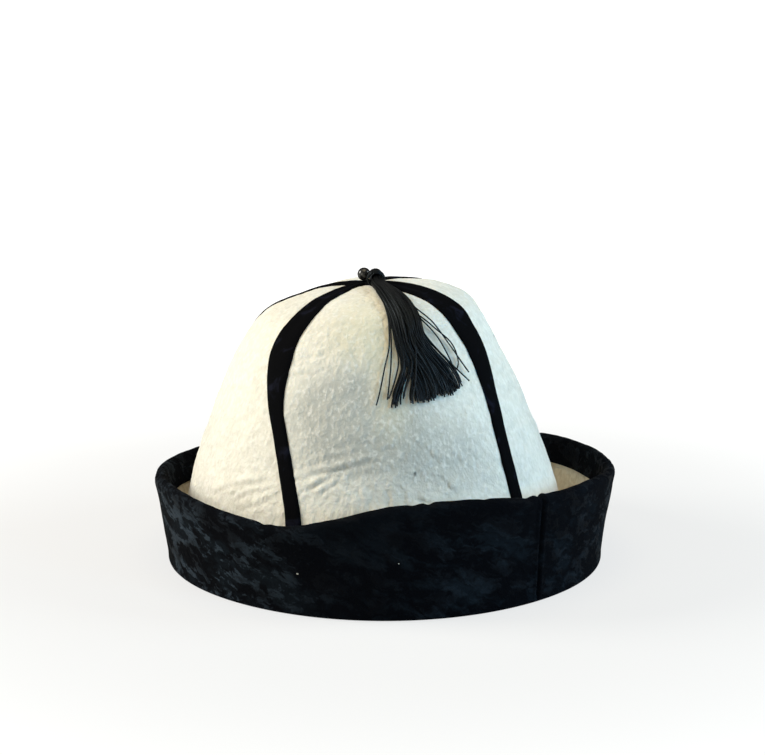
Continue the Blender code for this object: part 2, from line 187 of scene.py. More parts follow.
# Azimuth in degrees of each seam up the crown, turned from the front towards the right
SEAM_TURNS = {
    "height": (0.00, 0.28, 0.50, 0.65, 0.81, 0.93, 0.97, 1.00),
    "front_left": (-21.5, -24.0, -31.0, -37.5, -42.0, -43.5, -47.0, -46.0),
    "front_right": (49.0, 50.0, 51.0, 53.0, 56.5, 54.5, 55.0, 60.0),
    "back_right": (145.0, 145.0, 144.0, 143.0, 141.0, 140.0, 140.0, 140.0),
    "back_left": (-118.0, -118.0, -117.0, -115.0, -112.0, -109.0, -111.0, -122.0),
}
SEAMS = [name for name in SEAM_TURNS if name != "height"]
GORES = {
    "gore_front": ("front_left", "front_right"),
    "gore_right": ("front_right", "back_right"),
    "gore_back": ("back_right", "back_left"),
    "gore_left": ("back_left", "front_left"),
}


def rows_of(columns, *rows):
    """A table's rows, each with its values under the columns' names."""
    return [dict(zip(columns.split(), row)) for row in rows]


# Broad dents. Depth in millimetres; spread (degrees) and rise (share of height) are half widths.
DENTS = rows_of(
    "azimuth height spread rise depth",
    (-28.0, 0.79, 11.0, 0.055, 1.35),
    (-12.0, 0.44, 16.0, 0.050, 1.20),
    (30.0, 0.45, 13.0, 0.090, 1.05),
    (-65.0, 0.25, 18.0, 0.050, 1.20),
    (75.0, 0.60, 12.0, 0.110, 1.20),
    (178.0, 0.50, 22.0, 0.120, 1.35),
)

# Creases, each from one place on the crown to another, bowed up or down between them. Places are
# (azimuth, height share), bow and width are in millimetres, depth is a share of CREASE_DEPTH.
CREASE_DEPTH = 0.0019
CREASE_SWELL, CREASE_GROOVE = 0.62, 0.50  # shares of it above and below the felt
# Painted shade: how far the felt's colour is darkened along each groove
CREASE_SHADE = 0.55  # how dark the felt is in the groove
CREASES = rows_of(
    "start end bow width depth",
    ((-59, 0.292), (-30, 0.402), 1.2, 1.5, 0.62),
    ((-51, 0.304), (-44, 0.350), -0.8, 1.3, 0.45),
    ((-45, 0.262), (-28, 0.362), -0.6, 1.4, 0.52),
    ((-47, 0.297), (-29, 0.377), 0.8, 1.1, 0.40),
    ((-51, 0.415), (-35, 0.452), 0.6, 1.2, 0.28),
    ((-26, 0.398), (4, 0.480), 1.3, 1.4, 0.85),
    ((-25, 0.440), (-2, 0.512), 0.9, 1.3, 0.30),
    ((-23, 0.352), (-9, 0.438), 1.2, 1.2, 0.80),
    ((-17, 0.362), (-9.5, 0.426), -0.9, 1.1, 0.50),
    ((2, 0.490), (13, 0.548), 0.8, 1.6, 0.30),
    ((-4.5, 0.410), (-3.2, 0.330), 0.5, 1.3, 0.26),
    ((5, 0.400), (6.5, 0.300), -0.7, 1.4, 0.24),
    ((17.5, 0.520), (23, 0.450), 1.0, 1.6, 0.46),
    ((22, 0.430), (28, 0.352), -0.9, 1.6, 0.50),
    ((25, 0.505), (32, 0.445), 0.9, 1.4, 0.44),
    ((34.5, 0.505), (39, 0.440), -0.6, 1.5, 0.38),
    ((12, 0.370), (19, 0.300), 0.7, 1.6, 0.36),
    ((-36, 0.800), (-17, 0.838), -1.0, 1.3, 0.42),
    ((-36, 0.778), (-20, 0.796), 0.6, 1.1, 0.26),
    ((-35, 0.748), (-16, 0.786), -1.0, 1.4, 0.46),
    ((-26, 0.898), (-5, 0.914), 0.6, 2.2, 0.30),
    ((64, 0.640), (84, 0.626), 1.2, 2.2, 0.50),
    ((66, 0.704), (84, 0.730), -1.2, 2.0, 0.45),
    ((118, 0.330), (138, 0.420), 1.2, 1.8, 0.55),
    ((98, 0.270), (122, 0.340), -0.9, 1.5, 0.45),
    ((160, 0.560), (198, 0.500), 1.6, 2.0, 0.60),
    ((168, 0.300), (205, 0.380), -1.2, 1.6, 0.50),
    ((212, 0.640), (232, 0.700), 1.0, 1.8, 0.45),
    ((-100, 0.420), (-74, 0.360), 1.4, 1.8, 0.55),
    ((-112, 0.700), (-88, 0.660), -1.2, 2.0, 0.45),
)

# How grey the felt is, as painted shade: a grey all over, greyer in patches over the front's middle,
# its top and its sides. Where a share is negative it is painted light: the low felt that the brim
# shades is left ungreyed. The grey also has a random mottle. Spread is in degrees and rise a share
# of the height, both half widths.
GREY_AND_SHADE_BASE = 0.27
GREY_MOTTLE, MOTTLE_SIZE = 0.10, 0.010  # how mottled that grey is, and its size in metres
PAINTED_SHADE_PATCHES = rows_of(
    "azimuth height spread rise share",
    (-6.0, 0.61, 25.0, 0.18, 1.00),
    (4.0, 0.90, 26.0, 0.09, 0.58),
    (-10.0, 0.24, 26.0, 0.14, -0.30),
    (-64.0, 0.20, 24.0, 0.15, -0.30),
    (30.0, 0.28, 18.0, 0.12, -0.20),
    (68.0, 0.25, 18.0, 0.15, -0.25),
    (26.0, 0.46, 18.0, 0.15, 0.50),
    (96.0, 0.50, 22.0, 0.15, 0.25),
    (185.0, 0.55, 26.0, 0.18, 0.40),
    (-84.0, 0.45, 20.0, 0.12, 0.20),
)

# Where the felt is yellower, in the same way
YELLOWER_PATCHES = rows_of(
    "azimuth height spread rise share",
    (1.0, 0.90, 24.0, 0.11, 0.62),
    (8.0, 0.72, 8.0, 0.16, 0.45),
    (-24.0, 0.20, 60.0, 0.16, 0.16),
    (170.0, 0.85, 30.0, 0.12, 0.35),
)

# Lumps of the matted wool. Depth and size are in metres, and upright says how much longer they
# are up and down.
FELT_LUMPS = rows_of(
    "depth size seed octaves upright",
    (0.00042, 0.013, 1, 2, 1.0),
    (0.00015, 0.0048, 2, 2, 1.0),
    (0.00009, 0.0024, 3, 1, 1.4),
)

# Small dark specks caught in the wool. Radius is in millimetres.
SPECKS = rows_of(
    "azimuth height radius",
    (14.2, 0.434, 0.75),
    (87.5, 0.800, 0.60),
)


def smooth(table, column, place, along="height", loop=False):
    """Values of a table's column at places, on a smooth curve through its rows."""
    marks, values = np.array(table[along], float), np.array(table[column], float)
    last = len(marks) - 1
    rows = np.arange(last + 1)
    below, above = np.maximum(rows - 1, 0), np.minimum(rows + 1, last)
    slopes = (values[above] - values[below]) / (marks[above] - marks[below])
    if loop:
        span = marks[1] - marks[0] + marks[last] - marks[last - 1]
        slopes[[0, last]] = (values[1] - values[last - 1]) / span
    row = np.clip(np.searchsorted(marks, place, side="right") - 1, 0, last - 1)
    step = marks[row + 1] - marks[row]
    t = (place - marks[row]) / step
    rise = values[row + 1] - values[row]
    first, second = slopes[row] * step, slopes[row + 1] * step
    bend = first + second - 2 * rise
    return values[row] + t * (first + t * (rise - first - bend + t * bend))


def section(column, way):
    return smooth(CROWN_SECTIONS, column, way, along="way")


def hem_share(azimuth):
    """Outline of the hem seen from above, as a share of its radius."""
    return 1 - HEM_FLATS * np.sin(2 * np.radians(azimuth)) ** 2


def outward(azimuth):
    turn = np.radians(azimuth)
    return np.stack([np.sin(turn), -np.cos(turn), np.zeros_like(turn)], axis=-1)


def turn_between(azimuth, middle):
    return (azimuth - middle + 180) % 360 - 180


def seam_azimuth(seam, way):
    return smooth(SEAM_TURNS, seam, section("height", way))


def gore_share(azimuth, way):
    """Where an azimuth lies across its gore, 0 at one seam and 1 at the next."""
    share = np.zeros_like(azimuth)
    for first, second in GORES.values():
        start = seam_azimuth(first, way)
        width = (seam_azimuth(second, way) - start) % 360
        across = (azimuth - start) % 360
        share = np.where(across <= width, across / width, share)
    return share


def crease_relief(azimuth, height, crease):
    """A small fold: a groove, with the felt swelling above it. Also its painted shade along the groove."""
    (a0, h0), (a1, h1) = crease["start"], crease["end"]
    middle = (a0 + a1) / 2
    reach = HEM_RADIUS * 0.84
    run = np.array((radians(a1 - a0) * reach, (h1 - h0) * CROWN_HEIGHT))
    length = np.linalg.norm(run)
    run /= length
    x = np.radians(turn_between(azimuth, middle)) * reach
    y = (height - (h0 + h1) / 2) * CROWN_HEIGHT
    along = (x * run[0] + y * run[1]) / (length / 2)
    away = y * run[0] - x * run[1]
    away = (away - crease["bow"] * 1e-3 * (1 - along**2)) / (crease["width"] * 1e-3)
    wander = 0.26 * np.sin(along * 5.1 + middle) + 0.12 * np.sin(along * 11.3 + 2 * middle)
    away = away + wander
    fade = np.clip(1.15 - np.abs(along), 0, 1) ** 0.7 * (0.78 + 0.22 * np.sin(along * 7 + middle))
    swell = np.exp(-(((away - 1.35) / 1.05) ** 2)) + 0.45 * np.exp(-(((away + 1.5) / 1.2) ** 2))
    groove = np.exp(-((away * 2.0) ** 2))
    depth = fade * crease["depth"]
    return (CREASE_SWELL * swell - CREASE_GROOVE * groove) * depth * CREASE_DEPTH, depth * groove


def felt_relief(azimuth, height, fine=1.0):
    """How far the felt's face stands out for its dents and creases."""
    relief = np.zeros_like(azimuth)
    for dent in DENTS:
        turn = turn_between(azimuth, dent["azimuth"]) / dent["spread"]
        rise = (height - dent["height"]) / dent["rise"]
        relief -= dent["depth"] * 1e-3 * np.exp(-(turn**2) - rise**2)
    for crease in CREASES:
        relief += fine * crease_relief(azimuth, height, crease)[0]
    return relief


def crease_shade_lines(azimuth, height):
    """How much shade is painted on the felt along its creases."""
    return sum(crease_relief(azimuth, height, crease)[1] for crease in CREASES)


def patch_share(patches, azimuth, height):
    """How much of a patchy mark there is, patch on patch, for the painted shade and for the yellower tint."""
    share = np.zeros(np.broadcast(azimuth, height).shape)
    for patch in patches:
        turn = turn_between(azimuth, patch["azimuth"]) / patch["spread"]
        rise = (height - patch["height"]) / patch["rise"]
        share += patch["share"] * np.exp(-((turn**2 + rise**2) ** 1.5))
    return share


def speck_share(azimuth, way):
    """Where the specks are, 1 in the middle of each."""
    share = np.zeros(np.broadcast(azimuth, way).shape)
    for speck in SPECKS:
        x = np.radians(turn_between(azimuth, speck["azimuth"])) * HEM_RADIUS * section("radius", way)
        y = (section("height", way) - speck["height"]) * CROWN_HEIGHT
        share += np.exp(-((x**2 + y**2) / (speck["radius"] * 1e-3) ** 2) ** 2)
    return share


def profile_normal(way):
    """Outward direction of the crown's profile, as (out, up)."""
    low, high = np.maximum(way - 0.004, 0.0), np.minimum(way + 0.004, 1.0)
    run = HEM_RADIUS * (section("radius", high) - section("radius", low))
    rise = CROWN_HEIGHT * (section("height", high) - section("height", low))
    length = np.hypot(run, rise)
    return rise / length, -run / length


def crown_points(azimuth, way, proud=0.0, fine=1.0):
    """Points of the felt's face, or proud of it, at azimuths and shares of the way up."""
    azimuth, way, proud = (
        np.array(x, float) for x in np.broadcast_arrays(azimuth, way, proud)
    )
    height = section("height", way)
    outline = 1 + (hem_share(azimuth) - 1) * (1 - np.minimum(way * 4, 1)) ** 2
    radius = HEM_RADIUS * section("radius", way) * outline
    across = gore_share(azimuth, way)
    puff = GORE_PUFF * section("puff", way) * 4 * across * (1 - across)
    lift = puff + felt_relief(azimuth, height, fine) + proud
    out, up = profile_normal(way)
    up = up * np.minimum(height * CROWN_HEIGHT / HEM_SQUARING, 1.0)
    length = np.hypot(out, up)
    direction = outward(azimuth) * (out / length)[..., None]
    direction[..., 2] += up / length
    points = outward(azimuth) * radius[..., None] + direction * lift[..., None]
    points[..., 2] += points[..., 0] * np.tan(np.radians(CROWN_TILT * section("tilt", way)))
    points[..., 0] -= CROWN_LEAN * section("lean", way)
    points[..., 2] += HEM_LIFT + CROWN_HEIGHT * height
    return points


def noise_field(points, size, seed, octaves=2, stretch=(1.0, 1.0, 1.0)):
    """Smooth noise from about -1 to 1 at points, with lumps of a size in metres."""
    scale = Vector(1 / (size * s) for s in stretch)
    shift = Vector((seed * 7.31, seed * 3.17, seed * 5.77))
    flat = np.asarray(points).reshape(-1, 3)
    values = [
        noise.fractal(Vector((p[0] * scale.x, p[1] * scale.y, p[2] * scale.z)) + shift, 0.9, 2.1, octaves)
        for p in flat
    ]
    return np.array(values).reshape(np.asarray(points).shape[:-1])


def lumps_on(points, kinds):
    """Relief of several kinds of lumps, one on another."""
    return sum(
        kind["depth"]
        * noise_field(points, kind["size"], kind["seed"], kind["octaves"], (1.0, 1.0, kind["upright"]))
        for kind in kinds
    )


def crest_way(steps):
    """The way up at which the felt stops, short of the very crest."""
    ways = np.linspace(0.0, 1.0, steps + 1)[steps * 4 // 5:]
    return ways[np.argmin(np.abs(HEM_RADIUS * section("radius", ways) - CREST_HOLE))]


def make_piece(name, points, faces, material, sharp=60.0):
    """A smooth-shaded mesh object, sharp only where it is cut."""
    mesh = bpy.data.meshes.new(name)
    mesh.from_pydata(np.asarray(points).reshape(-1, 3), [], faces)
    mesh.shade_smooth()
    mesh.set_sharp_from_angle(angle=radians(sharp))
    mesh.materials.append(material)
    made = bpy.data.objects.new(name, mesh)
    bpy.context.scene.collection.objects.link(made)
    return made


def mark_points(piece, name, values):
    """Keep a share or a place for each point of a piece, for its material to read."""
    values = np.asarray(values, np.float32)
    kind, field = ("FLOAT", "value") if values.ndim == 1 else ("FLOAT_VECTOR", "vector")
    layer = piece.data.attributes.new(name, kind, "POINT")
    layer.data.foreach_set(field, values.ravel())


def cut_size(grid):
    """Width, length and area of the flat cloth that a grid of points, row after row, was cut as."""
    widths = np.linalg.norm(np.diff(grid, axis=1), axis=2).sum(axis=1)
    steps = np.linalg.norm(np.diff(grid, axis=0), axis=2).mean(axis=1)
    area = (steps * (widths[1:] + widths[:-1]) / 2).sum()
    return {"flat": (float(widths.max()), float(steps.sum())), "area": float(area)}


def slab_faces(rows, columns):
    """Faces of a closed slab whose points are two grids, its face and then its back."""
    corner = (np.arange(rows - 1)[:, None] * columns + np.arange(columns - 1)).ravel()
    face = np.stack([corner, corner + 1, corner + columns + 1, corner + columns], axis=1)
    size = rows * columns
    left = np.arange(rows) * columns
    top = (rows - 1) * columns + np.arange(columns)
    loop = np.concatenate([np.arange(columns), left[1:] + columns - 1, top[::-1][1:], left[::-1][1:-1]])
    ahead = np.roll(loop, -1)
    rim = np.stack([ahead, loop, loop + size, ahead + size], axis=1)
    return np.concatenate([face, face[:, ::-1] + size, rim]).tolist()


def add_node(tree, kind, inputs=None, **settings):
    """A shader node, with inputs given as values or as sockets to link from."""
    node = tree.nodes.new("ShaderNode" + kind)
    for name, value in settings.items():
        setattr(node, name, value)
    for name, value in (inputs or {}).items():
        if isinstance(value, bpy.types.NodeSocket):
            tree.links.new(value, node.inputs[name])
        else:
            node.inputs[name].default_value = value
    return node


def feed(tree, node, **sources):
    """Link sockets to a node's inputs, each under the input's name."""
    for name, source in sources.items():
        tree.links.new(source, node.inputs[name.replace("_", " ")])


def calc(tree, operation, *values):
    return add_node(tree, "Math", dict(enumerate(values)), operation=operation).outputs[0]


def added(tree, first, first_share, second, second_share):
    """Two values added, each by its share."""
    first, second = calc(tree, "MULTIPLY", first, first_share), calc(tree, "MULTIPLY", second, second_share)
    return calc(tree, "ADD", first, second)


def mixed(tree, share, first, second):
    return add_node(tree, "Mix", {0: share, 6: first, 7: second}, data_type="RGBA").outputs[2]


def ranged(tree, value, low, high, to_low=0.0, to_high=1.0):
    inputs = {0: value, 1: low, 2: high, 3: to_low, 4: to_high}
    return add_node(tree, "MapRange", inputs, interpolation_type="SMOOTHSTEP").outputs[0]


def grain(tree, place, scale, detail=2.0, **plain):
    """Noise of one scale over a place."""
    inputs = {"Vector": place, "Scale": scale, "Detail": detail, **plain}
    return add_node(tree, "TexNoise", inputs).outputs[0]


def bumped(tree, height, strength, distance, **under):
    """A normal bent by a height, over the bumps that are already under it."""
    inputs = {"Strength": strength, "Distance": distance, "Height": height, **under}
    return add_node(tree, "Bump", inputs).outputs[0]


def marked(tree, name, output="Fac"):
    """What mark_points keeps for the points of a piece."""
    return add_node(tree, "Attribute", attribute_name=name).outputs[output]


def object_place(tree):
    return add_node(tree, "TexCoord").outputs["Object"]


def start_group(name, inputs, outputs):
    """A shader node group with named sockets, and its input and output nodes."""
    tree = bpy.data.node_groups.new(name, "ShaderNodeTree")
    for socket, value in inputs.items():
        kind = "NodeSocketVector" if isinstance(value, tuple) else "NodeSocketFloat"
        made = tree.interface.new_socket(socket, in_out="INPUT", socket_type=kind)
        made.default_value = value
    for socket, kind in outputs.items():
        tree.interface.new_socket(socket, in_out="OUTPUT", socket_type="NodeSocket" + kind)
    return tree, tree.nodes.new("NodeGroupInput"), tree.nodes.new("NodeGroupOutput")


def place_group(tree, group, **values):
    node = tree.nodes.new("ShaderNodeGroup")
    node.node_tree = group
    for name, value in values.items():
        node.inputs[name.replace("_", " ")].default_value = value
    return node


def start_material(name, roughness, **plain):
    """A material, its tree and its shader, with the plain values set on the shader itself."""
    material = bpy.data.materials.new(name)
    material.use_nodes = True
    tree = material.node_tree
    shader = tree.nodes["Principled BSDF"]
    shader.inputs["Roughness"].default_value = roughness
    for socket, value in plain.items():
        shader.inputs[socket.replace("_", " ")].default_value = value
    return material, tree, shader


def wool_fibres_group():
    """Matted wool: soft clumps, curled fibres lying every way, and a few that run up and down."""
    tree, given, out = start_group(
        "wool_fibres",
        {"Clump Size": 0.004, "Fibre Size": 0.0011, "Curl": 1.6},
        {"Relief": "Float", "Clumps": "Float", "Fibres": "Float"},
    )
    place = object_place(tree)
    clump_scale = calc(tree, "DIVIDE", 1.0, given.outputs["Clump Size"])
    fibre_scale = calc(tree, "DIVIDE", 1.0, given.outputs["Fibre Size"])
    clumps = grain(tree, place, clump_scale, Distortion=0.15)
    curled = grain(tree, place, fibre_scale, Distortion=given.outputs["Curl"])
    upright = add_node(tree, "Mapping", {"Vector": place, "Scale": (1.0, 1.0, 0.5)}).outputs[0]
    combed = grain(tree, upright, fibre_scale, Distortion=0.2)
    fibres = added(tree, curled, 0.35, combed, 0.65)
    feed(tree, out, Relief=added(tree, clumps, 0.6, fibres, 0.4), Clumps=clumps, Fibres=fibres)
    return tree


wool_fibres = wool_fibres_group()


def felt_material(name, light, shade, fleck):
    """White felt: uneven cream wool with pale fibre flecks, and painted shade in its valleys, creases and grey
    patches.
    """
    material, tree, shader = start_material(
        name, 0.94, Specular_IOR_Level=0.15, Sheen_Weight=0.18, Sheen_Roughness=0.6,
        Subsurface_Weight=0.12, Subsurface_Radius=(0.004, 0.003, 0.002), Subsurface_Scale=0.5,
    )
    wool = place_group(tree, wool_fibres, Clump_Size=0.0034, Fibre_Size=0.0009, Curl=1.5)
    crepe = place_group(tree, wool_fibres, Clump_Size=0.0038, Fibre_Size=0.0016, Curl=0.3)
    tone = ranged(tree, wool.outputs["Clumps"], 0.30, 0.60, 0.45, 1.0)
    colour = mixed(tree, tone, shade, light)
    # Painted shade: the colour turns to its shade tone in the valleys of the crepe relief that also bumps it
    valley_shade = ranged(tree, crepe.outputs["Relief"], 0.40, 0.56, 0.9, 0.0)
    colour = mixed(tree, valley_shade, colour, shade)
    # Painted shade: grey laid on in patches, and left off the low felt as painted light, with a random mottle
    colour = mixed(tree, marked(tree, "painted_shade_and_mottle"), colour, SHADE_AND_MOTTLE_FELT)
    colour = mixed(tree, marked(tree, "yellower"), colour, YELLOWER_FELT)
    flecks = ranged(tree, crepe.outputs["Fibres"], 0.47, 0.68, 0.0, 0.45)
    colour = mixed(tree, flecks, colour, fleck)
    # Painted shade along the creases' grooves
    colour = mixed(tree, marked(tree, "painted_crease_shade"), colour, PAINTED_CREASE_COLOUR)
    colour = mixed(tree, marked(tree, "speck"), colour, SPECK_COLOUR)
    rucked = bumped(tree, crepe.outputs["Relief"], 0.6, 0.0022)
    fibrous = bumped(tree, wool.outputs["Relief"], 0.7, 0.0005, Normal=rucked)
    feed(tree, shader, Base_Color=colour, Normal=fibrous)
    return material


# Grey of the painted shade and of its mottle
SHADE_AND_MOTTLE_FELT = (0.50, 0.50, 0.46, 1)
YELLOWER_FELT = (0.88, 0.80, 0.58, 1)
# Colour of the painted shade in the creases
PAINTED_CREASE_COLOUR = (0.46, 0.43, 0.36, 1)
SPECK_COLOUR = (0.045, 0.045, 0.04, 1)
white_felt = felt_material(
    "white_felt", (0.93, 0.905, 0.82, 1), (0.83, 0.805, 0.72, 1), (0.94, 0.925, 0.88, 1)
)


def build_gore(name, first, second):
    """One gore of felt, 3 mm thick, its face and back both following the sewn shape."""
    rows, columns = FELT_GRIDS[name]
    way = np.linspace(0.0, crest_way(2000), rows)[:, None]
    start = seam_azimuth(first, way)
    width = (seam_azimuth(second, way) - start) % 360
    across = np.linspace(0.0, 1.0, columns)[None, :]
    azimuth = start + width * across
    face = crown_points(azimuth, way)
    near_seam = np.clip(np.minimum(across, 1 - across) * 24, 0.15, 1)
    face = crown_points(azimuth, way, lumps_on(face, FELT_LUMPS) * near_seam)
    back = crown_points(azimuth, way, -FELT_WALL, fine=0.25)
    along_hem = np.stack([np.cos(np.radians(azimuth)), np.sin(np.radians(azimuth)), 0 * azimuth], axis=-1)
    cut = np.zeros((1, columns, 1))
    cut[0, 0], cut[0, -1] = SEAT_GAP / 2, -SEAT_GAP / 2
    points = np.concatenate([(side + along_hem * cut).reshape(-1, 3) for side in (face, back)])
    gore = make_piece(name + "_felt", points, slab_faces(rows, columns), white_felt)
    height = section("height", way)
    mottle = GREY_MOTTLE * noise_field(face, MOTTLE_SIZE, 4)
    # Colour marks: painted shade in patches and along creases, a yellower tint, and dark specks
    colour_marks = {
        "painted_shade_and_mottle": GREY_AND_SHADE_BASE + patch_share(PAINTED_SHADE_PATCHES, azimuth, height) + mottle,
        "yellower": patch_share(YELLOWER_PATCHES, azimuth, height),
        "painted_crease_shade": crease_shade_lines(azimuth, height) * CREASE_SHADE,
        "speck": speck_share(azimuth, way),
    }
    for colour_mark, share in colour_marks.items():
        mark_points(gore, colour_mark, np.tile(np.clip(share, 0, 1).ravel(), 2))
    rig.sheet(gore, held="stretched", rests_on=["brim_felt"], **cut_size(crown_points(azimuth, way)))
    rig.replaces(gore, name)
    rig.slot(gore, "white_felt")
    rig.ride(gore, "root")


for gore_name, (first_seam, second_seam) in GORES.items():
    build_gore(gore_name, first_seam, second_seam)


# Ribbons

# Four black velvet ribbons, each one sewn flat over a seam of the crown from the hem to the
# crest, where their mitred ends meet under the bead. They widen over the shoulder of the dome.

RIBBON_WALL = 0.0010
RIBBON_WIDTH = 0.0134  # at the widest, over the shoulder
RIBBON_MITRE = 54.0  # degrees each side at the crest, where their ends lie over each other
RIBBON_END_LIFT = 0.0012  # the cut end above the hem
RIBBON_ROWS, RIBBON_COLUMNS = 220, 17
SWAY_DEPTH, SWAY_LENGTH = 0.00022, 0.012  # how far the sewn ribbon strays from its seam
COCKLE_DEPTH, COCKLE_SIZE = 0.00018, 0.009  # of its face
RIBBON_SINK = 0.0004  # how far its back is pressed into the felt
CREASES_UNDER = 0.6  # how much of the felt's creases a ribbon follows

# Width along a ribbon, hem to crest, as a share of RIBBON_WIDTH. One ribbon lies flatter over
# the shoulder and has a column of its own.
RIBBON_SECTIONS = {
    "height": (0.00, 0.28, 0.52, 0.64, 0.74, 0.82, 0.93, 0.98, 1.00),
    "width": (0.60, 0.57, 0.57, 0.66, 0.90, 1.00, 0.88, 0.66, 0.45),
    "front_right": (0.60, 0.57, 0.57, 0.66, 0.90, 1.06, 1.14, 0.92, 0.58),
}


def velvet_pile_group():
    """Short upright pile: a fine nap, and places where it was brushed another way."""
    tree, given, out = start_group(
        "velvet_pile",
        {"Nap Size": 0.0005, "Brush Size": 0.008, "Brush Reach": 0.5},
        {"Nap": "Float", "Brushed": "Float", "Relief": "Float"},
    )
    place = object_place(tree)
    nap = grain(tree, place, calc(tree, "DIVIDE", 1.0, given.outputs["Nap Size"]))
    brush = grain(tree, place, calc(tree, "DIVIDE", 1.0, given.outputs["Brush Size"]), 4.0, Distortion=1.2)
    brushed = ranged(tree, brush, 0.56, 0.70)
    brushed = calc(tree, "MULTIPLY", brushed, given.outputs["Brush Reach"])
    feed(tree, out, Nap=nap, Brushed=brushed, Relief=added(tree, nap, 0.5, brush, 0.5))
    return tree


velvet_pile = velvet_pile_group()


def ribbon_material():
    """Black ribbon velvet with a slight blue bloom, painted sheen, where its pile is brushed."""
    material, tree, shader = start_material(
        "ribbon_velvet", 0.85, Specular_IOR_Level=0.02, Sheen_Weight=0.004, Sheen_Roughness=0.35,
        Sheen_Tint=(0.6, 0.7, 1.0, 1),
    )
    pile = place_group(tree, velvet_pile, Nap_Size=0.0005, Brush_Size=0.010, Brush_Reach=0.8)
    dark = mixed(tree, pile.outputs["Nap"], (0.0016, 0.0016, 0.0021, 1), (0.0036, 0.0038, 0.0047, 1))
    # Painted sheen: a bluish bloom laid into the colour where the pile is brushed
    colour = mixed(tree, pile.outputs["Brushed"], dark, (0.010, 0.011, 0.020, 1))
    feed(tree, shader, Base_Color=colour, Normal=bumped(tree, pile.outputs["Relief"], 0.5, 0.0003))
    return material


ribbon_velvet = ribbon_material()


def ribbon_width(seam, way):
    """Width of a ribbon at shares of the way up, mitred where the four meet at the crest."""
    radius = HEM_RADIUS * section("radius", way)
    column = seam if seam in RIBBON_SECTIONS else "width"
    width = RIBBON_WIDTH * smooth(RIBBON_SECTIONS, column, section("height", way))
    return np.minimum(width, 2 * (radius * tan(radians(RIBBON_MITRE)) - SEAT_GAP))


def build_ribbon(seam):
    """A ribbon with a thick soft body, thinner at its woven edges, over one seam."""
    ways = np.linspace(0.0, 1.0, 4001)
    low = ways[np.argmax(CROWN_HEIGHT * section("height", ways) > RIBBON_END_LIFT)]
    way = np.linspace(low, crest_way(4000), RIBBON_ROWS)[:, None]
    share = np.linspace(-0.5, 0.5, RIBBON_COLUMNS)[None, :]
    radius = HEM_RADIUS * section("radius", way)
    azimuth = seam_azimuth(seam, way) + np.degrees(share * ribbon_width(seam, way) / radius)
    middle = crown_points(seam_azimuth(seam, way), way)
    sway = SWAY_DEPTH * noise_field(middle, SWAY_LENGTH, len(seam)) * np.minimum(radius / 0.02, 1)
    azimuth = azimuth + np.degrees(sway / radius)
    body = 1 - 0.55 * np.abs(2 * share) ** 5
    under = crown_points(azimuth, way, 0.0, CREASES_UNDER)
    proud = (SEAT_GAP + RIBBON_WALL) * body + COCKLE_DEPTH * noise_field(under, COCKLE_SIZE, 11)
    face = crown_points(azimuth, way, proud, CREASES_UNDER)
    back = crown_points(azimuth, way, -RIBBON_SINK, CREASES_UNDER)
    points = np.concatenate([face.reshape(-1, 3), back.reshape(-1, 3)])
    name = "ribbon_" + seam
    ribbon = make_piece(name + "_velvet", points, slab_faces(RIBBON_ROWS, RIBBON_COLUMNS), ribbon_velvet)
    gores = [gore for gore, seams in GORES.items() if seam in seams]
    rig.sheet(ribbon, held="stretched", rests_on=gores, **cut_size(face))
    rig.replaces(ribbon, name)
    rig.slot(ribbon, "ribbon_velvet")
    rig.ride(ribbon, "root")


for seam_name in SEAMS:
    build_ribbon(seam_name)


# Brim felt

# The brim is more of the same felt: a flange under the crown's hem, folded at the floor and
# turned up all round. Its edge rises and falls, and only its inside shows, under the facing.

VELVET_WALL = 0.0010
BRIM_HEIGHT = 0.0460  # mean height of the turned-up edge
BRIM_FLARE = 0.0058  # how far that edge leans out from the fold
BRIM_BELLY = -0.0003  # curve of the brim half way up, outward where positive
BRIM_ROOM = 0.0008  # between the ribbons' ends and the inside of the brim
FOLD_BEND = 0.0020  # radius of the felt's middle line round the bottom fold
FOLD_SQUARE = 0.32  # how square the pressed outside of that fold is, 1 for a round one
BRIM_FOOT = VELVET_WALL + SEAT_GAP + FELT_WALL / 2  # height of the flange's middle line
FOLD_ROOM = SEAT_GAP + RIBBON_WALL + BRIM_ROOM
BAND_SEAM_AZIMUTH = 39.0  # where the ends of the velvet band are joined
BAND_SEAM_PULL = 0.0009  # how far that seam draws the brim in
BAND_SEAM_SPREAD = 2.2  # degrees
FOLD_STEPS, WALL_STEPS, EDGE_STEPS = 8, 30, 8
BRIM_COLUMNS = 540
BRIM_LUMPS = rows_of(
    "depth size seed octaves upright",
    (0.00018, 0.009, 21, 2, 1.0),
    (0.00008, 0.003, 22, 2, 1.0),
)

# The turned-up edge round the hat. Height is a share of BRIM_HEIGHT, flare of BRIM_FLARE.
BRIM_STATIONS = {
    "azimuth": (-180, -150, -119, -92, -66, -45, -24, -12, 1, 20, 38, 63, 93, 121, 150, 180),
    "height": (0.89, 0.87, 0.86, 0.92, 0.98, 0.96, 0.92, 1.02, 1.15, 1.19, 1.13, 1.09, 0.98,
               0.94, 0.90, 0.89),
    "flare": (1.00, 1.05, 1.00, 0.98, 1.00, 1.10, 1.20, 1.05, 0.95, 0.95, 1.05, 1.00, 1.00,
              1.05, 1.00, 1.00),
}

# Small pinches where the stitching draws the edge down; depth in millimetres, spread in degrees
EDGE_PINCHES = rows_of(
    "azimuth depth spread",
    (-29.5, 0.8, 1.1),
    (6.6, 0.6, 1.2),
    (10.2, 1.1, 0.9),
    (24.0, 0.5, 1.0),
    (35.5, 0.7, 1.3),
    (39.0, 1.2, 0.5),
    (92.0, 0.8, 1.2),
    (133.0, 0.9, 1.0),
    (-160.0, 0.9, 1.1),
    (-122.0, 0.7, 1.2),
    (-80.0, 0.6, 1.3),
)


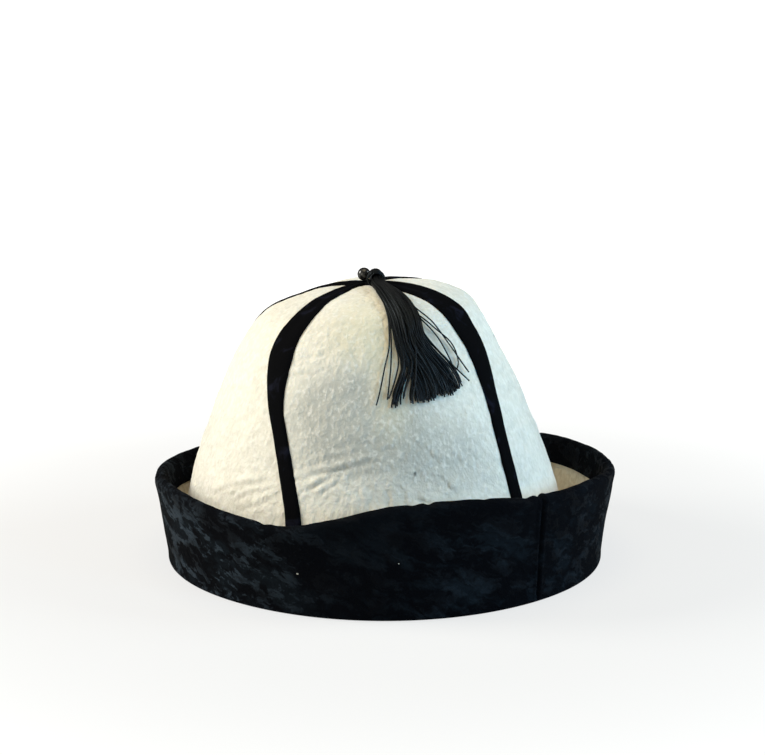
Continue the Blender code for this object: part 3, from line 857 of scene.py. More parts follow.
def brim_lines(azimuth, distance):
    """Lines up the brim at a distance from its felt's middle, as (radius, height) points."""
    hem = HEM_RADIUS * hem_share(azimuth)
    turn = turn_between(azimuth, BAND_SEAM_AZIMUTH) / BAND_SEAM_SPREAD
    pull = BAND_SEAM_PULL * np.exp(-turn * turn)
    wall = hem + FOLD_ROOM + FELT_WALL / 2
    edge = BRIM_HEIGHT * smooth(BRIM_STATIONS, "height", azimuth, "azimuth", True)
    for pinch in EDGE_PINCHES:
        away = turn_between(azimuth, pinch["azimuth"]) / pinch["spread"]
        edge = edge - pinch["depth"] * 1e-3 * np.exp(-away * away)
    edge = edge - (FELT_WALL / 2 + SEAT_GAP + VELVET_WALL)
    top = HEM_RADIUS + FOLD_ROOM + FELT_WALL / 2
    top = top + BRIM_FLARE * smooth(BRIM_STATIONS, "flare", azimuth, "azimuth", True)
    bend = np.radians(np.linspace(0, 90, FOLD_STEPS))[None, :]
    square = FOLD_SQUARE if distance > 0 else 1.0
    reach = FOLD_BEND + distance
    fold_radius = wall[:, None] - FOLD_BEND + reach * np.sin(bend) ** square
    fold_height = BRIM_FOOT + FOLD_BEND - reach * np.cos(bend) ** square
    share = np.linspace(0, 1, WALL_STEPS + 1)[None, 1:]
    foot = BRIM_FOOT + FOLD_BEND
    curve = BRIM_BELLY * 4 * share * (1 - share) - pull[:, None] * share
    wall_radius = wall[:, None] + (top - wall)[:, None] * share + curve
    wall_height = foot + (edge[:, None] - foot) * share
    run, rise = np.gradient(wall_radius, axis=1), np.gradient(wall_height, axis=1)
    length = np.hypot(run, rise)
    wall_radius = wall_radius + rise / length * distance
    wall_height = wall_height - run / length * distance
    flange = np.stack([hem - FELT_WALL / 2, 0 * hem + BRIM_FOOT - distance], axis=-1)[:, None]
    fold = np.stack([fold_radius, fold_height + 0 * fold_radius], axis=-1)
    rest = np.stack([wall_radius, wall_height], axis=-1)
    return np.concatenate([flange, fold, rest], axis=1)


def ring_points(azimuth, lines):
    """Points in space of lines of (radius, height), one line at each azimuth."""
    points = outward(azimuth)[:, None, :] * lines[..., :1]
    points[..., 2] = lines[..., 1]
    return points


def ring_faces(columns, count):
    """Faces of a closed ring of closed loops, each of count points."""
    here = (np.arange(columns) * count)[:, None]
    there = ((np.arange(columns) + 1) % columns * count)[:, None]
    i, j = np.arange(count)[None, :], ((np.arange(count) + 1) % count)[None, :]
    return np.stack([here + i, there + i, there + j, here + j], axis=-1).reshape(-1, 4).tolist()


# The brim is the crown's white felt; its darker, browner colours here are painted shade and warm bounce light of the
# gutter between brim and crown
brim_felt_shaded = felt_material(
    "brim_felt_shaded_cream", (0.84, 0.74, 0.57, 1), (0.70, 0.60, 0.44, 1), (0.90, 0.83, 0.70, 1)
)


def build_brim_felt():
    azimuth = np.linspace(-180, 180, BRIM_COLUMNS, endpoint=False)
    outer = brim_lines(azimuth, FELT_WALL / 2)
    inner = brim_lines(azimuth, -FELT_WALL / 2)
    loops = np.concatenate([outer, inner[:, ::-1]], axis=1)
    points = ring_points(azimuth, loops)
    lumps = lumps_on(points, BRIM_LUMPS)
    count = outer.shape[1]
    lumps[:, :count] = 0
    lumps[:, -FOLD_STEPS - 1:] = 0
    points -= outward(azimuth)[:, None, :] * lumps[..., None]
    brim = make_piece("brim_felt_wall", points, ring_faces(len(azimuth), loops.shape[1]), brim_felt_shaded)
    outside = ring_points(azimuth, outer)
    size = cut_size(np.concatenate([outside, outside[:1]]))
    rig.sheet(brim, held="folded", rests_on=["brim_velvet"], **size)
    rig.replaces(brim, "brim_felt")
    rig.slot(brim, "white_felt")
    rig.ride(brim, "root")


build_brim_felt()


# Brim velvet

# One long band of black crushed velvet covers the brim: tucked under the fold, up the outside,
# over the edge and a finger's width down the inside as a facing. Its two ends are joined by an
# upright seam right of the front, and its pile is crushed into patches that lie every way.

FACING_DEPTH = 0.0110
BAND_COLUMNS = 800
BAND_LUMPS = rows_of(
    "depth size seed octaves upright",
    (0.00032, 0.022, 31, 2, 1.0),
    (0.00014, 0.006, 32, 2, 1.0),
    (0.00016, 0.010, 33, 1, 4.0),
)
BAND_PROUD = 0.0007  # as far as they may stand out
SEAM_DEPTH = 0.00085  # of the groove where the band's ends are joined
FINE_CRUSH, BROAD_CRUSH = 0.0085, 0.020  # size of the small sharp patches and the dim wide ones
LAY_SLANT = 0.40  # radians by which the pile's streaks run down to the right
SEAM_SLANT = (2.8, 0.8)  # degrees from BAND_SEAM_AZIMUTH to the seam, at the floor and at the edge

# How strongly each kind of patch shows round the brim: painted sheen, strongest on the left where
# the left lamp grazes the band, and faint at the front between the lamps
CRUSH_SHEEN_STATIONS = {
    "azimuth": (-180, -130, -90, -68, -45, -30, -14, 4, 20, 36, 55, 80, 120, 180),
    "fine": (0.50, 0.60, 0.80, 1.00, 0.95, 0.55, 0.12, 0.08, 0.18, 0.10, 0.16, 0.30, 0.60, 0.50),
    "broad": (0.60, 0.50, 0.40, 0.50, 0.60, 0.60, 0.35, 0.50, 0.80, 0.60, 0.55, 0.50, 0.60, 0.60),
}

# How much of the crushing is left towards the edge; up is metres up the band from under its fold
EDGE_CALM = {"up": (0.040, 0.052, 0.062), "share": (1.0, 0.55, 0.30)}

# Colours of the pile, dark and light: standing, crushed flat, and dimly crushed. The light colours
# of the crushed pile are painted sheen, the slate blue that flattened pile shows under a grazing lamp
STANDING_PILE = ((0.0015, 0.0018, 0.0029, 1), (0.0030, 0.0035, 0.0053, 1))
FLAT_PILE_SHEEN = ((0.0035, 0.0055, 0.0090, 1), (0.0450, 0.0640, 0.0880, 1))
DIM_PILE_SHEEN = ((0.0026, 0.0040, 0.0062, 1), (0.0125, 0.0190, 0.0262, 1))

# Crumbs of pale lint on the band. Up is metres up the band, and radius is in metres.
LINT_COLOUR = (0.50, 0.50, 0.46, 1)
LINT = rows_of(
    "azimuth up radius",
    (-21.1, 0.0281, 0.00045),
    (3.4, 0.0347, 0.00028),
)


def crushed_pile_group():
    """Crushed patches with torn edges, streaked aslant across the band as the pile was laid."""
    tree, given, out = start_group(
        "crushed_pile",
        {"Place": (0.0, 0.0, 0.0), "Patch Size": 0.014, "Streak Size": 0.0022, "Edge": 0.05},
        {"Crushed": "Float", "Streaks": "Float", "Lay": "Float"},
    )
    place = given.outputs["Place"]
    warp = add_node(tree, "TexNoise", {"Vector": place, "Scale": 110.0, "Detail": 3.0}).outputs["Color"]
    centred = add_node(tree, "VectorMath", {0: warp, 1: (0.5, 0.5, 0.5)}, operation="SUBTRACT").outputs[0]
    moved = add_node(tree, "VectorMath", {0: centred, "Scale": 0.009}, operation="SCALE").outputs[0]
    bent = add_node(tree, "VectorMath", {0: place, 1: moved}, operation="ADD").outputs[0]
    turned = add_node(tree, "Mapping", {"Vector": bent, "Rotation": (0.0, 0.0, LAY_SLANT)}).outputs[0]
    slanted = add_node(tree, "Mapping", {"Vector": turned, "Scale": (0.60, 1.0, 1.0)}).outputs[0]
    patch_scale = calc(tree, "DIVIDE", 1.0, given.outputs["Patch Size"])
    patches = grain(tree, slanted, patch_scale, 6.0, Roughness=0.68)
    streak_scale = calc(tree, "DIVIDE", 1.0, given.outputs["Streak Size"])
    combed = add_node(tree, "Mapping", {"Vector": turned, "Scale": (0.30, 1.0, 1.0)}).outputs[0]
    streaks = grain(tree, combed, streak_scale, 3.0, Distortion=0.5)
    torn = calc(tree, "ADD", patches, calc(tree, "MULTIPLY", calc(tree, "SUBTRACT", streaks, 0.5), 0.20))
    low = calc(tree, "SUBTRACT", 0.53, given.outputs["Edge"])
    high = calc(tree, "ADD", 0.53, given.outputs["Edge"])
    feed(tree, out, Crushed=ranged(tree, torn, low, high), Streaks=streaks, Lay=patches)
    return tree


crushed_pile = crushed_pile_group()


def crushed_velvet_material():
    """Black velvet: near black where the pile stands, painted sheen of slate blue where it is crushed flat."""
    material, tree, shader = start_material(
        "crushed_velvet", 0.7, Specular_IOR_Level=0.025, Sheen_Weight=0.005, Sheen_Roughness=0.30,
        Sheen_Tint=(0.55, 0.75, 1.0, 1),
    )
    crush = place_group(tree, crushed_pile, Patch_Size=FINE_CRUSH, Streak_Size=0.0018, Edge=0.018)
    wide = place_group(tree, crushed_pile, Patch_Size=BROAD_CRUSH, Streak_Size=0.0026, Edge=0.060)
    pile = place_group(tree, velvet_pile, Nap_Size=0.0005, Brush_Size=0.030, Brush_Reach=1.0)
    fine_sheen_share, broad_sheen_share = marked(tree, "fine_crush"), marked(tree, "broad_crush")
    band_place = marked(tree, "band_place", "Vector")
    for group in (crush, wide):
        feed(tree, group, Place=band_place)
    upright = mixed(tree, pile.outputs["Nap"], *STANDING_PILE)
    # Painted sheen: the crushed patches are lightened to slate blue
    flat = mixed(tree, crush.outputs["Streaks"], *FLAT_PILE_SHEEN)
    dim = mixed(tree, wide.outputs["Streaks"], *DIM_PILE_SHEEN)
    colour = mixed(tree, calc(tree, "MULTIPLY", wide.outputs["Crushed"], broad_sheen_share), upright, dim)
    huddled = ranged(tree, wide.outputs["Lay"], 0.40, 0.58, 0.15, 1.0)
    creased = calc(tree, "MULTIPLY", crush.outputs["Crushed"], huddled)
    colour = mixed(tree, calc(tree, "MULTIPLY", creased, fine_sheen_share), colour, flat)
    for crumb in LINT:
        along = radians((crumb["azimuth"] - BAND_SEAM_AZIMUTH - sum(SEAM_SLANT) / 2) % 360) * HEM_RADIUS
        spot = {0: band_place, 1: (along, crumb["up"], 0.0)}
        away = add_node(tree, "VectorMath", spot, operation="DISTANCE").outputs["Value"]
        on_it = ranged(tree, away, crumb["radius"] * 0.6, crumb["radius"] * 1.3, 0.8, 0.0)
        colour = mixed(tree, on_it, colour, LINT_COLOUR)
    rough = ranged(tree, crush.outputs["Crushed"], 0.0, 1.0, 0.9, 0.6)
    lay = bumped(tree, crush.outputs["Lay"], 0.7, 0.0022)
    streaks = bumped(tree, crush.outputs["Streaks"], 0.6, 0.0006, Normal=lay)
    nap = bumped(tree, pile.outputs["Nap"], 0.4, 0.0002, Normal=streaks)
    feed(tree, shader, Base_Color=colour, Roughness=rough, Normal=nap)
    return material


crushed_velvet = crushed_velvet_material()


def velvet_skin(azimuth, distance):
    """The velvet's line at a distance from the felt: fold, wall, round the edge and the facing."""
    lines = brim_lines(azimuth, distance)
    middle = brim_lines(azimuth, 0.0)
    run = middle[:, -1] - middle[:, -2]
    run = run / np.linalg.norm(run, axis=1, keepdims=True)
    out = np.stack([run[:, 1], -run[:, 0]], axis=-1)
    turn = np.linspace(0, pi, EDGE_STEPS + 2)[None, 1:-1, None]
    cap = middle[:, -1:] + distance * (out[:, None] * np.cos(turn) + run[:, None] * np.sin(turn))
    inside = brim_lines(azimuth, -distance)[:, ::-1]
    step = np.linalg.norm(middle[:, -1] - middle[:, -2], axis=1)
    places = np.linspace(0, FACING_DEPTH, 9)[None, :] / step[:, None]
    row = np.minimum(places.astype(int), WALL_STEPS - 2)
    part = (places - row)[..., None]
    first = np.take_along_axis(inside, row[..., None], axis=1)
    second = np.take_along_axis(inside, row[..., None] + 1, axis=1)
    facing = first * (1 - part) + second * part
    return np.concatenate([lines, cap, facing], axis=1)


def build_brim_velvet():
    even = np.linspace(-180, 180, BAND_COLUMNS, endpoint=False)
    near_seam = BAND_SEAM_AZIMUTH + np.linspace(-1.8, 5.4, 73)
    far = even[(even < near_seam[0] - 0.05) | (even > near_seam[-1] + 0.05)]
    azimuth = np.sort(np.concatenate([far, near_seam]))
    near = FELT_WALL / 2 + SEAT_GAP
    face = velvet_skin(azimuth, near + VELVET_WALL)
    back = velvet_skin(azimuth, near)
    run = np.gradient(face, axis=1)
    run /= np.linalg.norm(run, axis=2, keepdims=True)
    normal = np.stack([run[..., 1], -run[..., 0]], axis=-1)
    points = ring_points(azimuth, face)
    height = face[..., 1]
    seam = BAND_SEAM_AZIMUTH + np.interp(height, (0.0, BRIM_HEIGHT), SEAM_SLANT)
    away = turn_between(azimuth[:, None], seam)
    groove = np.exp(-((away / 0.36) ** 2)) - 0.45 * np.exp(-(((np.abs(away) - 1.0) / 0.45) ** 2))
    relief = lumps_on(points, BAND_LUMPS) - SEAM_DEPTH * groove
    flat = np.clip((height - 0.0006) / 0.0020, 0, 1)
    face = face + normal * (np.minimum(relief, BAND_PROUD) * flat)[..., None]
    loops = np.concatenate([face, back[:, ::-1]], axis=1)
    points = ring_points(azimuth, loops)
    points[..., 2] = np.maximum(points[..., 2], 0.0)
    band = make_piece("brim_velvet_band", points, ring_faces(len(azimuth), loops.shape[1]), crushed_velvet)
    up = np.cumsum(np.linalg.norm(np.diff(face, axis=1, prepend=face[:, :1]), axis=2), axis=1)
    along = np.radians((azimuth[:, None] - seam) % 360) * HEM_RADIUS
    place = np.stack([along, up, 0 * up], axis=-1)
    mark_points(band, "band_place", np.concatenate([place, place[:, ::-1]], axis=1).reshape(-1, 3))
    for kind in ("fine", "broad"):
        share = np.clip(smooth(CRUSH_SHEEN_STATIONS, kind, azimuth, "azimuth", True), 0, 1)
        share = share[:, None] * np.interp(up, EDGE_CALM["up"], EDGE_CALM["share"])
        mark_points(band, kind + "_crush", np.concatenate([share, share[:, ::-1]], axis=1).ravel())
    size = cut_size(ring_points(np.append(azimuth, azimuth[0]), np.concatenate([face, face[:1]])))
    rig.sheet(band, held="stretched", rests_on=["brim_felt"], **size)
    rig.replaces(band, "brim_velvet")
    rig.slot(band, "crushed_velvet")
    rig.ride(band, "root")


build_brim_velvet()


# Bead

# One turned black bead stands at the very crest, over the ends of the ribbons. It is drilled
# through for the thread that holds the tassel, though that thread isn't drawn.

BEAD_RADIUS = 0.0031
BORE_RADIUS = 0.0006
KNOT_RADIUS = 0.0033
KNOT_AZIMUTH = 50.0
BEAD_STEPS, BEAD_SIDES = 25, 48
BORE_TILT = 0.15  # rise of the bore along its length
BORE_EASE = 0.10  # radians of the curve that are turned away round the bore
BORE_LIP, BORE_SINK = 0.00008, 0.0005  # depth of its rounded lip, and of the hole below it
CREST = np.array((-CROWN_LEAN, 0.0, HEM_LIFT + CROWN_HEIGHT))
RIBBON_TOP = CREST[2] + SEAT_GAP + RIBBON_WALL
BEAD_CENTRE = np.array((CREST[0], CREST[1], RIBBON_TOP + SEAT_GAP + BEAD_RADIUS))


def bead_material():
    """Glossy black bead, faintly scratched and dusty."""
    material, tree, shader = start_material(
        "black_bead", 0.2, Specular_IOR_Level=0.5, Coat_Weight=0.35, Coat_Roughness=0.12
    )
    place = object_place(tree)
    dust = grain(tree, place, 1800.0, 4.0)
    colour = mixed(tree, ranged(tree, dust, 0.45, 0.75), (0.006, 0.006, 0.007, 1), (0.020, 0.020, 0.021, 1))
    rough = ranged(tree, dust, 0.35, 0.7, 0.22, 0.42)
    feed(tree, shader, Base_Color=colour, Roughness=rough, Normal=bumped(tree, dust, 0.15, 0.0002))
    return material


def frame_along(direction):
    """Two directions square to a direction and to each other."""
    direction = np.asarray(direction, float) / np.linalg.norm(direction)
    spare = np.array((0, 0, 1.0)) if abs(direction[2]) < 0.9 else np.array((1.0, 0, 0))
    side = np.cross(spare, direction)
    side /= np.linalg.norm(side)
    return direction, side, np.cross(direction, side)


def build_bead():
    """Turned profile spun about the bore, rounded into the hole at each end."""
    axis, side, over = frame_along(outward(np.array(KNOT_AZIMUTH)) + np.array((0, 0, BORE_TILT)))
    open_at = np.arcsin(BORE_RADIUS / BEAD_RADIUS) + BORE_EASE
    turn = np.linspace(open_at, pi - open_at, BEAD_STEPS)
    radius = list(BEAD_RADIUS * np.sin(turn))
    height = list(BEAD_RADIUS * np.cos(turn))
    end = height[0]
    radius = [BORE_RADIUS, BORE_RADIUS * 1.1] + radius + [BORE_RADIUS * 1.1, BORE_RADIUS]
    height = [end - BORE_SINK, end - BORE_LIP] + height + [BORE_LIP - end, BORE_SINK - end]
    around = np.linspace(0, 2 * pi, BEAD_SIDES, endpoint=False)
    ring = np.cos(around)[:, None] * side + np.sin(around)[:, None] * over
    points = BEAD_CENTRE + ring[:, None, :] * np.array(radius)[None, :, None]
    points = points + axis * np.array(height)[None, :, None]
    faces = ring_faces(len(around), len(radius))
    bead = make_piece("turned_bead", points, faces, bead_material(), 40.0)
    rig.replaces(bead, "crest_bead")
    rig.slot(bead, "black_bead")
    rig.ride(bead, "root")


build_bead()


# Tassel

# A tassel of black rayon thread is fastened beside the bead. Its threads are wound into a small
# round head, gathered below it, and lie down over the front gore, with a few strays at each side.

TASSEL_REACH = 0.0880  # crest to the cut ends, along the felt
TASSEL_DEPTH = 0.0032  # over which its threads lie on each other
TASSEL_REST = 0.0008  # from the felt, or a ribbon on it, to where that depth starts
THREAD_RADIUS = 0.00036
THREAD_PITCH = 0.0016  # one turn of the thread's twist
THREAD_STEPS = 44
SOURCE_SPREAD = 0.07  # how far a thread strays from its place in its group, as a share of it
END_SPREAD = 0.55  # the same at its end, in degrees
REACH_SPREAD = 0.010  # and in its length
LEAST_LIFT = 0.08  # of the lowest threads, as a share of TASSEL_DEPTH
RIBBON_CLEAR = 0.0015  # from a ribbon to where a thread lies on the felt again
rng = np.random.default_rng(7)

# Azimuths of the tassel's two sides, knot to ends
TASSEL_SIDES = {
    "share": (0.00, 0.10, 0.21, 0.40, 0.53, 0.65, 0.75, 0.86, 1.00),
    "left": (18.0, 10.0, 9.2, 10.0, 11.6, 13.4, 14.2, 15.8, 18.5),
    "right": (62.0, 36.5, 31.0, 29.2, 27.8, 27.0, 27.8, 30.6, 35.0),
}

# Groups of threads: how many, which part of the tassel they come from, and where they end.
# Reach is a share of TASSEL_REACH, and a greater part means that they leave the rest further down.
THREAD_GROUPS = rows_of(
    "count source ends reach part",
    (96, (0.04, 1.00), (18.5, 35.5), (0.995, 0.950), 1.5),
    (13, (0.02, 0.14), (8.6, 10.4), (1.005, 0.990), 1.6),
    (3, (0.10, 0.24), (12.8, 14.0), (0.985, 0.975), 1.7),
    (4, (0.15, 0.35), (15.0, 16.8), (1.000, 0.985), 1.7),
    (9, (0.80, 1.00), (34.5, 39.0), (0.955, 0.935), 1.4),
)

# Strays: azimuths at shares of their length, from the head to the end
STRAY_SHARES = (0.0, 0.2, 0.4, 0.55, 0.67, 0.79, 0.91, 0.97, 1.0)
STRAYS = rows_of(
    "azimuths reach lift",
    ((24, 9.5, 9.8, 10.0, 9.6, 7.0, 4.6, 3.3, 2.6), 1.003, 0.30),
    ((25, 10.0, 10.4, 10.8, 10.7, 9.8, 8.2, 7.3, 6.9), 0.975, 0.22),
    ((26, 10.5, 10.8, 11.2, 12.4, 13.0, 10.2, 8.4, 7.4), 0.970, 0.30),
    ((50, 26.0, 24.0, 24.8, 32.4, 39.8, 40.4, 37.6, 31.6), 0.885, 0.45),
    ((52, 26.0, 24.5, 28.5, 34.5, 38.4, 41.6, 43.2, 44.0), 0.882, 0.35),
    ((52, 26.0, 24.0, 26.5, 33.0, 36.0, 37.4, 38.0, 38.4), 0.945, 0.30),
    ((48, 25.0, 23.0, 24.0, 27.0, 32.0, 38.0, 41.0, 42.5), 0.925, 0.40),
    ((40, 20.0, 19.0, 19.5, 21.0, 20.0, 18.0, 16.4, 15.6), 0.990, 0.95),
    ((40, 18.0, 16.0, 17.5, 21.0, 24.5, 27.0, 28.0, 29.0), 0.960, 1.00),
    ((44, 22.0, 21.0, 20.5, 22.0, 26.5, 31.5, 34.5, 36.0), 0.955, 1.00),
)


def thread_material():
    """Twisted black rayon with a soft sheen."""
    material, tree, shader = start_material(
        "black_thread", 0.32, Specular_IOR_Level=0.20, Specular_Tint=(0.70, 0.86, 1.0, 1)
    )
    wrap = add_node(tree, "UVMap", uv_map="twist").outputs[0]
    parts = add_node(tree, "SeparateXYZ", {0: wrap})
    turns = calc(tree, "ADD", parts.outputs[0], parts.outputs[1])
    strand = calc(tree, "ABSOLUTE", calc(tree, "SINE", calc(tree, "MULTIPLY", turns, 2 * pi)))
    place = object_place(tree)
    shade = grain(tree, place, 900.0)
    colour = mixed(tree, strand, (0.0010, 0.0011, 0.0013, 1), (0.0036, 0.0040, 0.0046, 1))
    colour = mixed(tree, ranged(tree, shade, 0.4, 0.7, 0.0, 0.5), colour, (0.010, 0.010, 0.011, 1))
    feed(tree, shader, Base_Color=colour, Normal=bumped(tree, strand, 0.5, 0.00012))
    return material


black_thread = thread_material()

KNOT_REACH = BEAD_RADIUS + KNOT_RADIUS + 2 * SEAT_GAP
KNOT_CENTRE = CREST * (1, 1, 0) + outward(np.array(KNOT_AZIMUTH)) * KNOT_REACH
KNOT_CENTRE[2] = RIBBON_TOP + SEAT_GAP + KNOT_RADIUS
HEAD_RADIUS = 0.0033  # of the ball of wound thread
HEAD_CENTRE = KNOT_CENTRE - (0, 0, KNOT_RADIUS - HEAD_RADIUS)
HEAD_LOOPS, LOOP_STEPS = 22, 14
LOOP_START, LOOP_END = 0.16, 0.80 * pi  # how far round the ball a loop of the head lies
NECK_AZIMUTH, NECK_OUT, NECK_DROP = 8.0, 0.95, 0.45  # where the threads leave the head
NECK_TURNS, NECK_LENGTH = 4.3, 0.0026  # of thread wound round them there
NECK_START, NECK_SIZE, NECK_SWELL = 0.85, 1.02, 0.20  # shares of HEAD_RADIUS


def thread_tube(path, radius, sides=6):
    """Points, faces and twist of a round thread along a path, closed at both ends."""
    path = np.asarray(path, float)
    run = np.gradient(path, axis=0)
    run /= np.linalg.norm(run, axis=1, keepdims=True)
    _, side, _ = frame_along(run[0])
    rings = []
    for point, ahead in zip(path, run):
        side = side - ahead * side.dot(ahead)
        side /= np.linalg.norm(side)
        over = np.cross(ahead, side)
        turn = np.linspace(0, 2 * pi, sides, endpoint=False)
        rings.append(point + radius * (np.cos(turn)[:, None] * side + np.sin(turn)[:, None] * over))
    points = np.concatenate(rings)
    faces = []
    for r in range(len(path) - 1):
        for i in range(sides):
            j = (i + 1) % sides
            faces.append((r * sides + i, r * sides + j, (r + 1) * sides + j, (r + 1) * sides + i))
    last = (len(path) - 1) * sides
    faces.append(tuple(range(sides - 1, -1, -1)))
    faces.append(tuple(last + i for i in range(sides)))
    length = np.concatenate([[0], np.cumsum(np.linalg.norm(np.diff(path, axis=0), axis=1))])
    return points, faces, length, sides


def join_threads(name, tubes, material):
    """One mesh of many threads, with a map of how far along and round each of them a point is."""
    points, faces, wraps, start = [], [], [], 0
    for tube_points, tube_faces, length, sides in tubes:
        points.append(tube_points)
        for face in tube_faces:
            faces.append([start + i for i in face])
            ring = [i // sides for i in face]
            slot = [i % sides for i in face]
            full = len(face) == 4 and sides - 1 in slot and 0 in slot
            for r, s in zip(ring, slot):
                around = 1.0 if full and s == 0 else s / sides
                wraps += (length[r] / THREAD_PITCH, around)
        start += len(tube_points)
    made = make_piece(name, np.concatenate(points), faces, material, 75.0)
    layer = made.data.uv_layers.new(name="twist")
    layer.data.foreach_set("uv", np.array(wraps, np.float32))
    return made


def reach_ways():
    """Lengths along the felt from the crest down, and the ways up the crown they come to."""
    ways = np.linspace(1.0, 0.0, 801)
    radius, height = HEM_RADIUS * section("radius", ways), CROWN_HEIGHT * section("height", ways)
    steps = np.hypot(np.diff(radius), np.diff(height))
    return np.concatenate([[0], np.cumsum(steps)]), ways


REACHES, REACH_WAYS = reach_ways()


def ribbon_cover(azimuth, way, reach):
    """1 within a reach of a ribbon, falling to 0 over as much again."""
    radius = HEM_RADIUS * section("radius", way)
    cover = np.zeros_like(azimuth)
    for seam in SEAMS:
        away = np.radians(np.abs(turn_between(azimuth, seam_azimuth(seam, way)))) * radius
        away = away - ribbon_width(seam, way) / 2
        cover = np.maximum(cover, np.clip(2 - away / reach, 0, 1))
    return cover


def tassel_sides(share):
    """Azimuths of the tassel's left and right sides along it."""
    return [smooth(TASSEL_SIDES, side, share, "share") for side in ("left", "right")]


def lying_path(azimuth, share, reach, lift):
    """A thread's path from the knot down over the felt, at azimuths and lifts along it."""
    way = np.interp(KNOT_REACH + (TASSEL_REACH * reach - KNOT_REACH) * share, REACHES, REACH_WAYS)
    cover = ribbon_cover(azimuth, way, RIBBON_CLEAR) * (SEAT_GAP + RIBBON_WALL)
    on_felt = crown_points(azimuth, way, TASSEL_REST + cover + TASSEL_DEPTH * lift, fine=0.3)
    middle = sum(tassel_sides(share)) / 2
    level = crown_points(middle, way, TASSEL_REST + cover + TASSEL_DEPTH * 0.5, fine=0.3)
    drawn = (np.clip(1 - share / 0.20, 0, 1) ** 1.3)[:, None]
    gathered = HEAD_CENTRE + outward(np.array(NECK_AZIMUTH)) * KNOT_RADIUS * NECK_OUT
    gathered = gathered - np.array((0, 0, KNOT_RADIUS * NECK_DROP)) + (on_felt - level) * 0.75
    return on_felt * (1 - drawn) + gathered * drawn


def build_threads():
    tubes = []
    share = np.linspace(0, 1, THREAD_STEPS) ** 0.9
    for group in THREAD_GROUPS:
        for number in range(group["count"]):
            place = (number + rng.uniform(0.1, 0.9)) / group["count"]
            low, high = group["source"]
            source = low + (high - low) * np.clip(place + rng.normal(0, SOURCE_SPREAD), 0, 1)
            left, right = tassel_sides(share)
            azimuth = left + (right - left) * source
            first, last = group["ends"]
            end = first + (last - first) * place + rng.normal(0, END_SPREAD)
            own = group["part"]
            blend = np.clip((share - own * 0.45) / (1.0 - own * 0.45), 0, 1)
            blend = blend * blend * (3 - 2 * blend)
            azimuth = azimuth * (1 - blend) + end * blend
            wave = rng.uniform(0.15, 0.9) * np.sin(share * rng.uniform(3, 12) + rng.uniform(0, 6))
            azimuth = azimuth + wave * np.clip(share * 2 - 0.3, 0, 1)
            start, stop = group["reach"]
            reach = start + (stop - start) * place + rng.normal(0, REACH_SPREAD)
            layer = rng.uniform(0.10, 1.0) * (0.30 + 0.70 * np.sin(pi * np.clip(source, 0.03, 0.97)))
            bulk = 1.20 - 0.60 * share
            lift = layer * bulk + 0.05 * np.sin(share * rng.uniform(5, 12) + rng.uniform(0, 6))
            lift = np.maximum(lift, LEAST_LIFT)
            tubes.append(thread_tube(lying_path(azimuth, share, reach, lift), THREAD_RADIUS))
    for stray in STRAYS:
        table = {"share": STRAY_SHARES, "azimuth": stray["azimuths"]}
        azimuth = smooth(table, "azimuth", share, "share")
        lift = stray["lift"] * (0.9 - 0.3 * share) + 0.1
        tubes.append(thread_tube(lying_path(azimuth, share, stray["reach"], lift), THREAD_RADIUS))
    return tubes


def build_head():
    """The head: threads folded down over a ball all round, tied in at the neck."""
    towards = lying_path(np.array((18.0, 18.0)), np.array((0.0, 0.12)), 1.0, np.array((0.4, 0.4)))
    axis, side, over = frame_along(towards[1] - HEAD_CENTRE)
    tubes = []
    turn = np.linspace(LOOP_START, LOOP_END, LOOP_STEPS)
    for i in range(HEAD_LOOPS):
        around = 2 * pi * i / HEAD_LOOPS
        ray = cos(around) * side + sin(around) * over
        arc = (HEAD_RADIUS - THREAD_RADIUS) * (
            np.sin(turn)[:, None] * ray - np.cos(turn)[:, None] * axis
        )
        tubes.append(thread_tube(HEAD_CENTRE + arc, THREAD_RADIUS * 1.25))
    winds = np.linspace(0, NECK_TURNS * 2 * pi, 120)
    neck = HEAD_CENTRE + axis * (HEAD_RADIUS * NECK_START)
    wound = np.cos(winds)[:, None] * side + np.sin(winds)[:, None] * over
    swell = HEAD_RADIUS * (NECK_SIZE + NECK_SWELL * np.sin(pi * winds / winds[-1]))
    path = neck + wound * swell[:, None] + axis * (winds / winds[-1] * NECK_LENGTH)[:, None]
    tubes.append(thread_tube(path, THREAD_RADIUS * 1.1))
    return tubes


tassel = join_threads("tassel_threads", build_threads() + build_head(), black_thread)
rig.replaces(tassel, "tassel")
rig.slot(tassel, "black_thread")
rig.ride(tassel, "root")


# Floor, light and camera

# A plain white floor in a white studio. Warm light comes from the left and cool light from the
# right, as from two big windows, and the front between them is a little darker.

FLOOR_HALF, FLOOR_SQUARES = 3.0, 6
FLOOR_SINK = 0.00002  # just under the hat
FLOOR_GLOW = 0.70  # what the white sweep under the hat adds to what it reflects
CAMERA_PLACE = (-0.00108, -1.0, 0.30573)
CAMERA_TILT = 77.649  # degrees
CAMERA_LENS = 101.16

# Big soft lamps: place in metres, size in metres, power in watts
LAMPS = rows_of(
    "name place size power colour",
    ("window_left", (-1.30, 0.02, 0.72), 0.7, 19.0, (1.0, 0.98, 0.90)),
    ("window_right", (1.30, -0.02, 0.66), 0.7, 12.5, (0.78, 0.93, 1.0)),
    ("sky_fill", (1.15, -0.95, 0.50), 0.5, 7.2, (0.12, 0.58, 1.0)),
    ("front_fill", (-0.80, -0.95, 0.22), 0.8, 3.6, (1.0, 0.93, 0.76)),
    ("ceiling", (0.0, -0.22, 1.55), 1.3, 7.6, (1.0, 0.86, 0.58)),
)


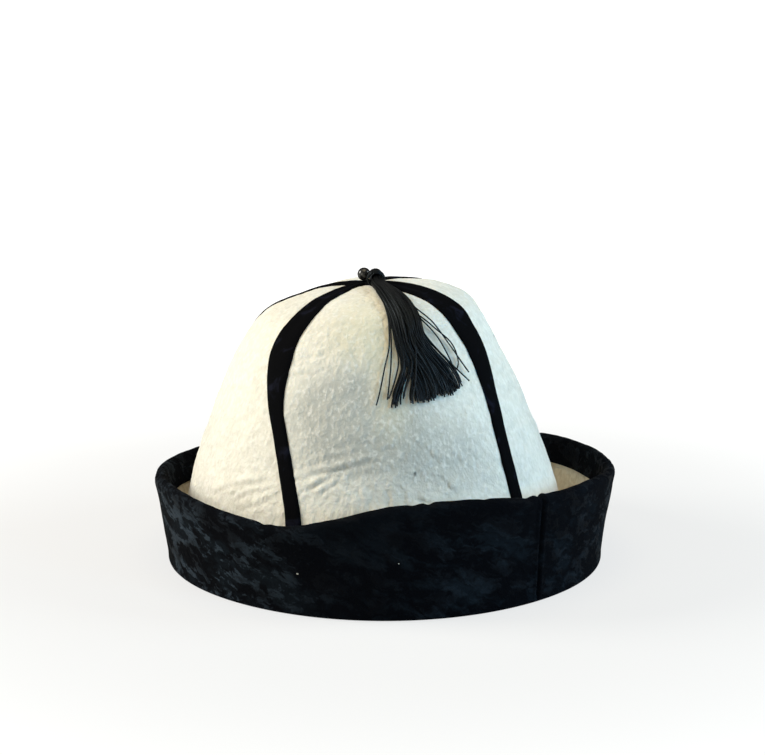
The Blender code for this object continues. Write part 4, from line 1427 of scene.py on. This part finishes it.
def build_floor():
    """A white floor that glows a little to the camera, and fades to plain white far out."""
    count = FLOOR_SQUARES + 1
    steps = np.linspace(-FLOOR_HALF, FLOOR_HALF, count)
    x, y = np.meshgrid(steps, steps)
    points = np.stack([x, y, 0 * x - FLOOR_SINK], axis=-1)
    corner = (np.arange(FLOOR_SQUARES)[:, None] * count + np.arange(FLOOR_SQUARES)).ravel()
    faces = np.stack([corner, corner + 1, corner + count + 1, corner + count], axis=1).tolist()
    material, tree, shader = start_material("studio_floor", 0.8, Specular_IOR_Level=0.1)
    place = object_place(tree)
    tone = grain(tree, place, 3.0)
    seen = add_node(tree, "LightPath").outputs["Is Camera Ray"]
    cast = mixed(tree, tone, (0.57, 0.565, 0.53, 1), (0.61, 0.605, 0.57, 1))
    colour = mixed(tree, seen, cast, mixed(tree, tone, (0.20, 0.20, 0.20, 1), (0.21, 0.21, 0.21, 1)))
    away = add_node(tree, "VectorMath", {0: place}, operation="LENGTH").outputs["Value"]
    glow = ranged(tree, away, 0.16, 0.55, FLOOR_GLOW, 1.1)
    shader.inputs["Emission Color"].default_value = (1, 1, 1, 1)
    feed(tree, shader, Emission_Strength=calc(tree, "MULTIPLY", glow, seen), Base_Color=colour)
    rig.stage(make_piece("studio_floor", points, faces, material))


def build_lamps():
    for lamp in LAMPS:
        light = bpy.data.lights.new(lamp["name"], "AREA")
        light.shape = "DISK"
        light.size = lamp["size"]
        light.energy = lamp["power"]
        light.color = lamp["colour"]
        made = bpy.data.objects.new(lamp["name"], light)
        made.location = lamp["place"]
        aim = Vector((0, 0, 0.06)) - made.location
        made.rotation_euler = aim.to_track_quat("-Z", "Y").to_euler()
        bpy.context.scene.collection.objects.link(made)


def build_world():
    """White all round to the camera, and a softer white to everything it lights."""
    world = bpy.data.worlds.new("studio")
    world.use_nodes = True
    tree = world.node_tree
    tree.nodes.clear()
    seen = add_node(tree, "Background", {"Color": (1, 1, 1, 1), "Strength": 1.1}).outputs[0]
    cast = add_node(tree, "Background", {"Color": (1.0, 0.97, 0.90, 1), "Strength": 0.17}).outputs[0]
    ray = add_node(tree, "LightPath").outputs["Is Camera Ray"]
    mix = add_node(tree, "MixShader", {0: ray, 1: cast, 2: seen}).outputs[0]
    add_node(tree, "OutputWorld", {"Surface": mix})
    bpy.context.scene.world = world


def build_camera():
    camera = bpy.data.cameras.new("photograph")
    camera.lens = CAMERA_LENS
    camera.sensor_width = 36.0
    camera.sensor_fit = "HORIZONTAL"
    camera.clip_end = 20.0
    made = bpy.data.objects.new("photograph", camera)
    made.location = CAMERA_PLACE
    made.rotation_euler = (radians(CAMERA_TILT), 0.0, 0.0)
    bpy.context.scene.collection.objects.link(made)
    bpy.context.scene.camera = made


build_floor()
build_lamps()
build_world()
build_camera()
bpy.context.scene.view_settings.view_transform = "Standard"

shown_box = [list(corner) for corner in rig.bounds()]
with open("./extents.json", "w") as size_file:
    json.dump({"solid": solid_box, "shown": shown_box}, size_file)
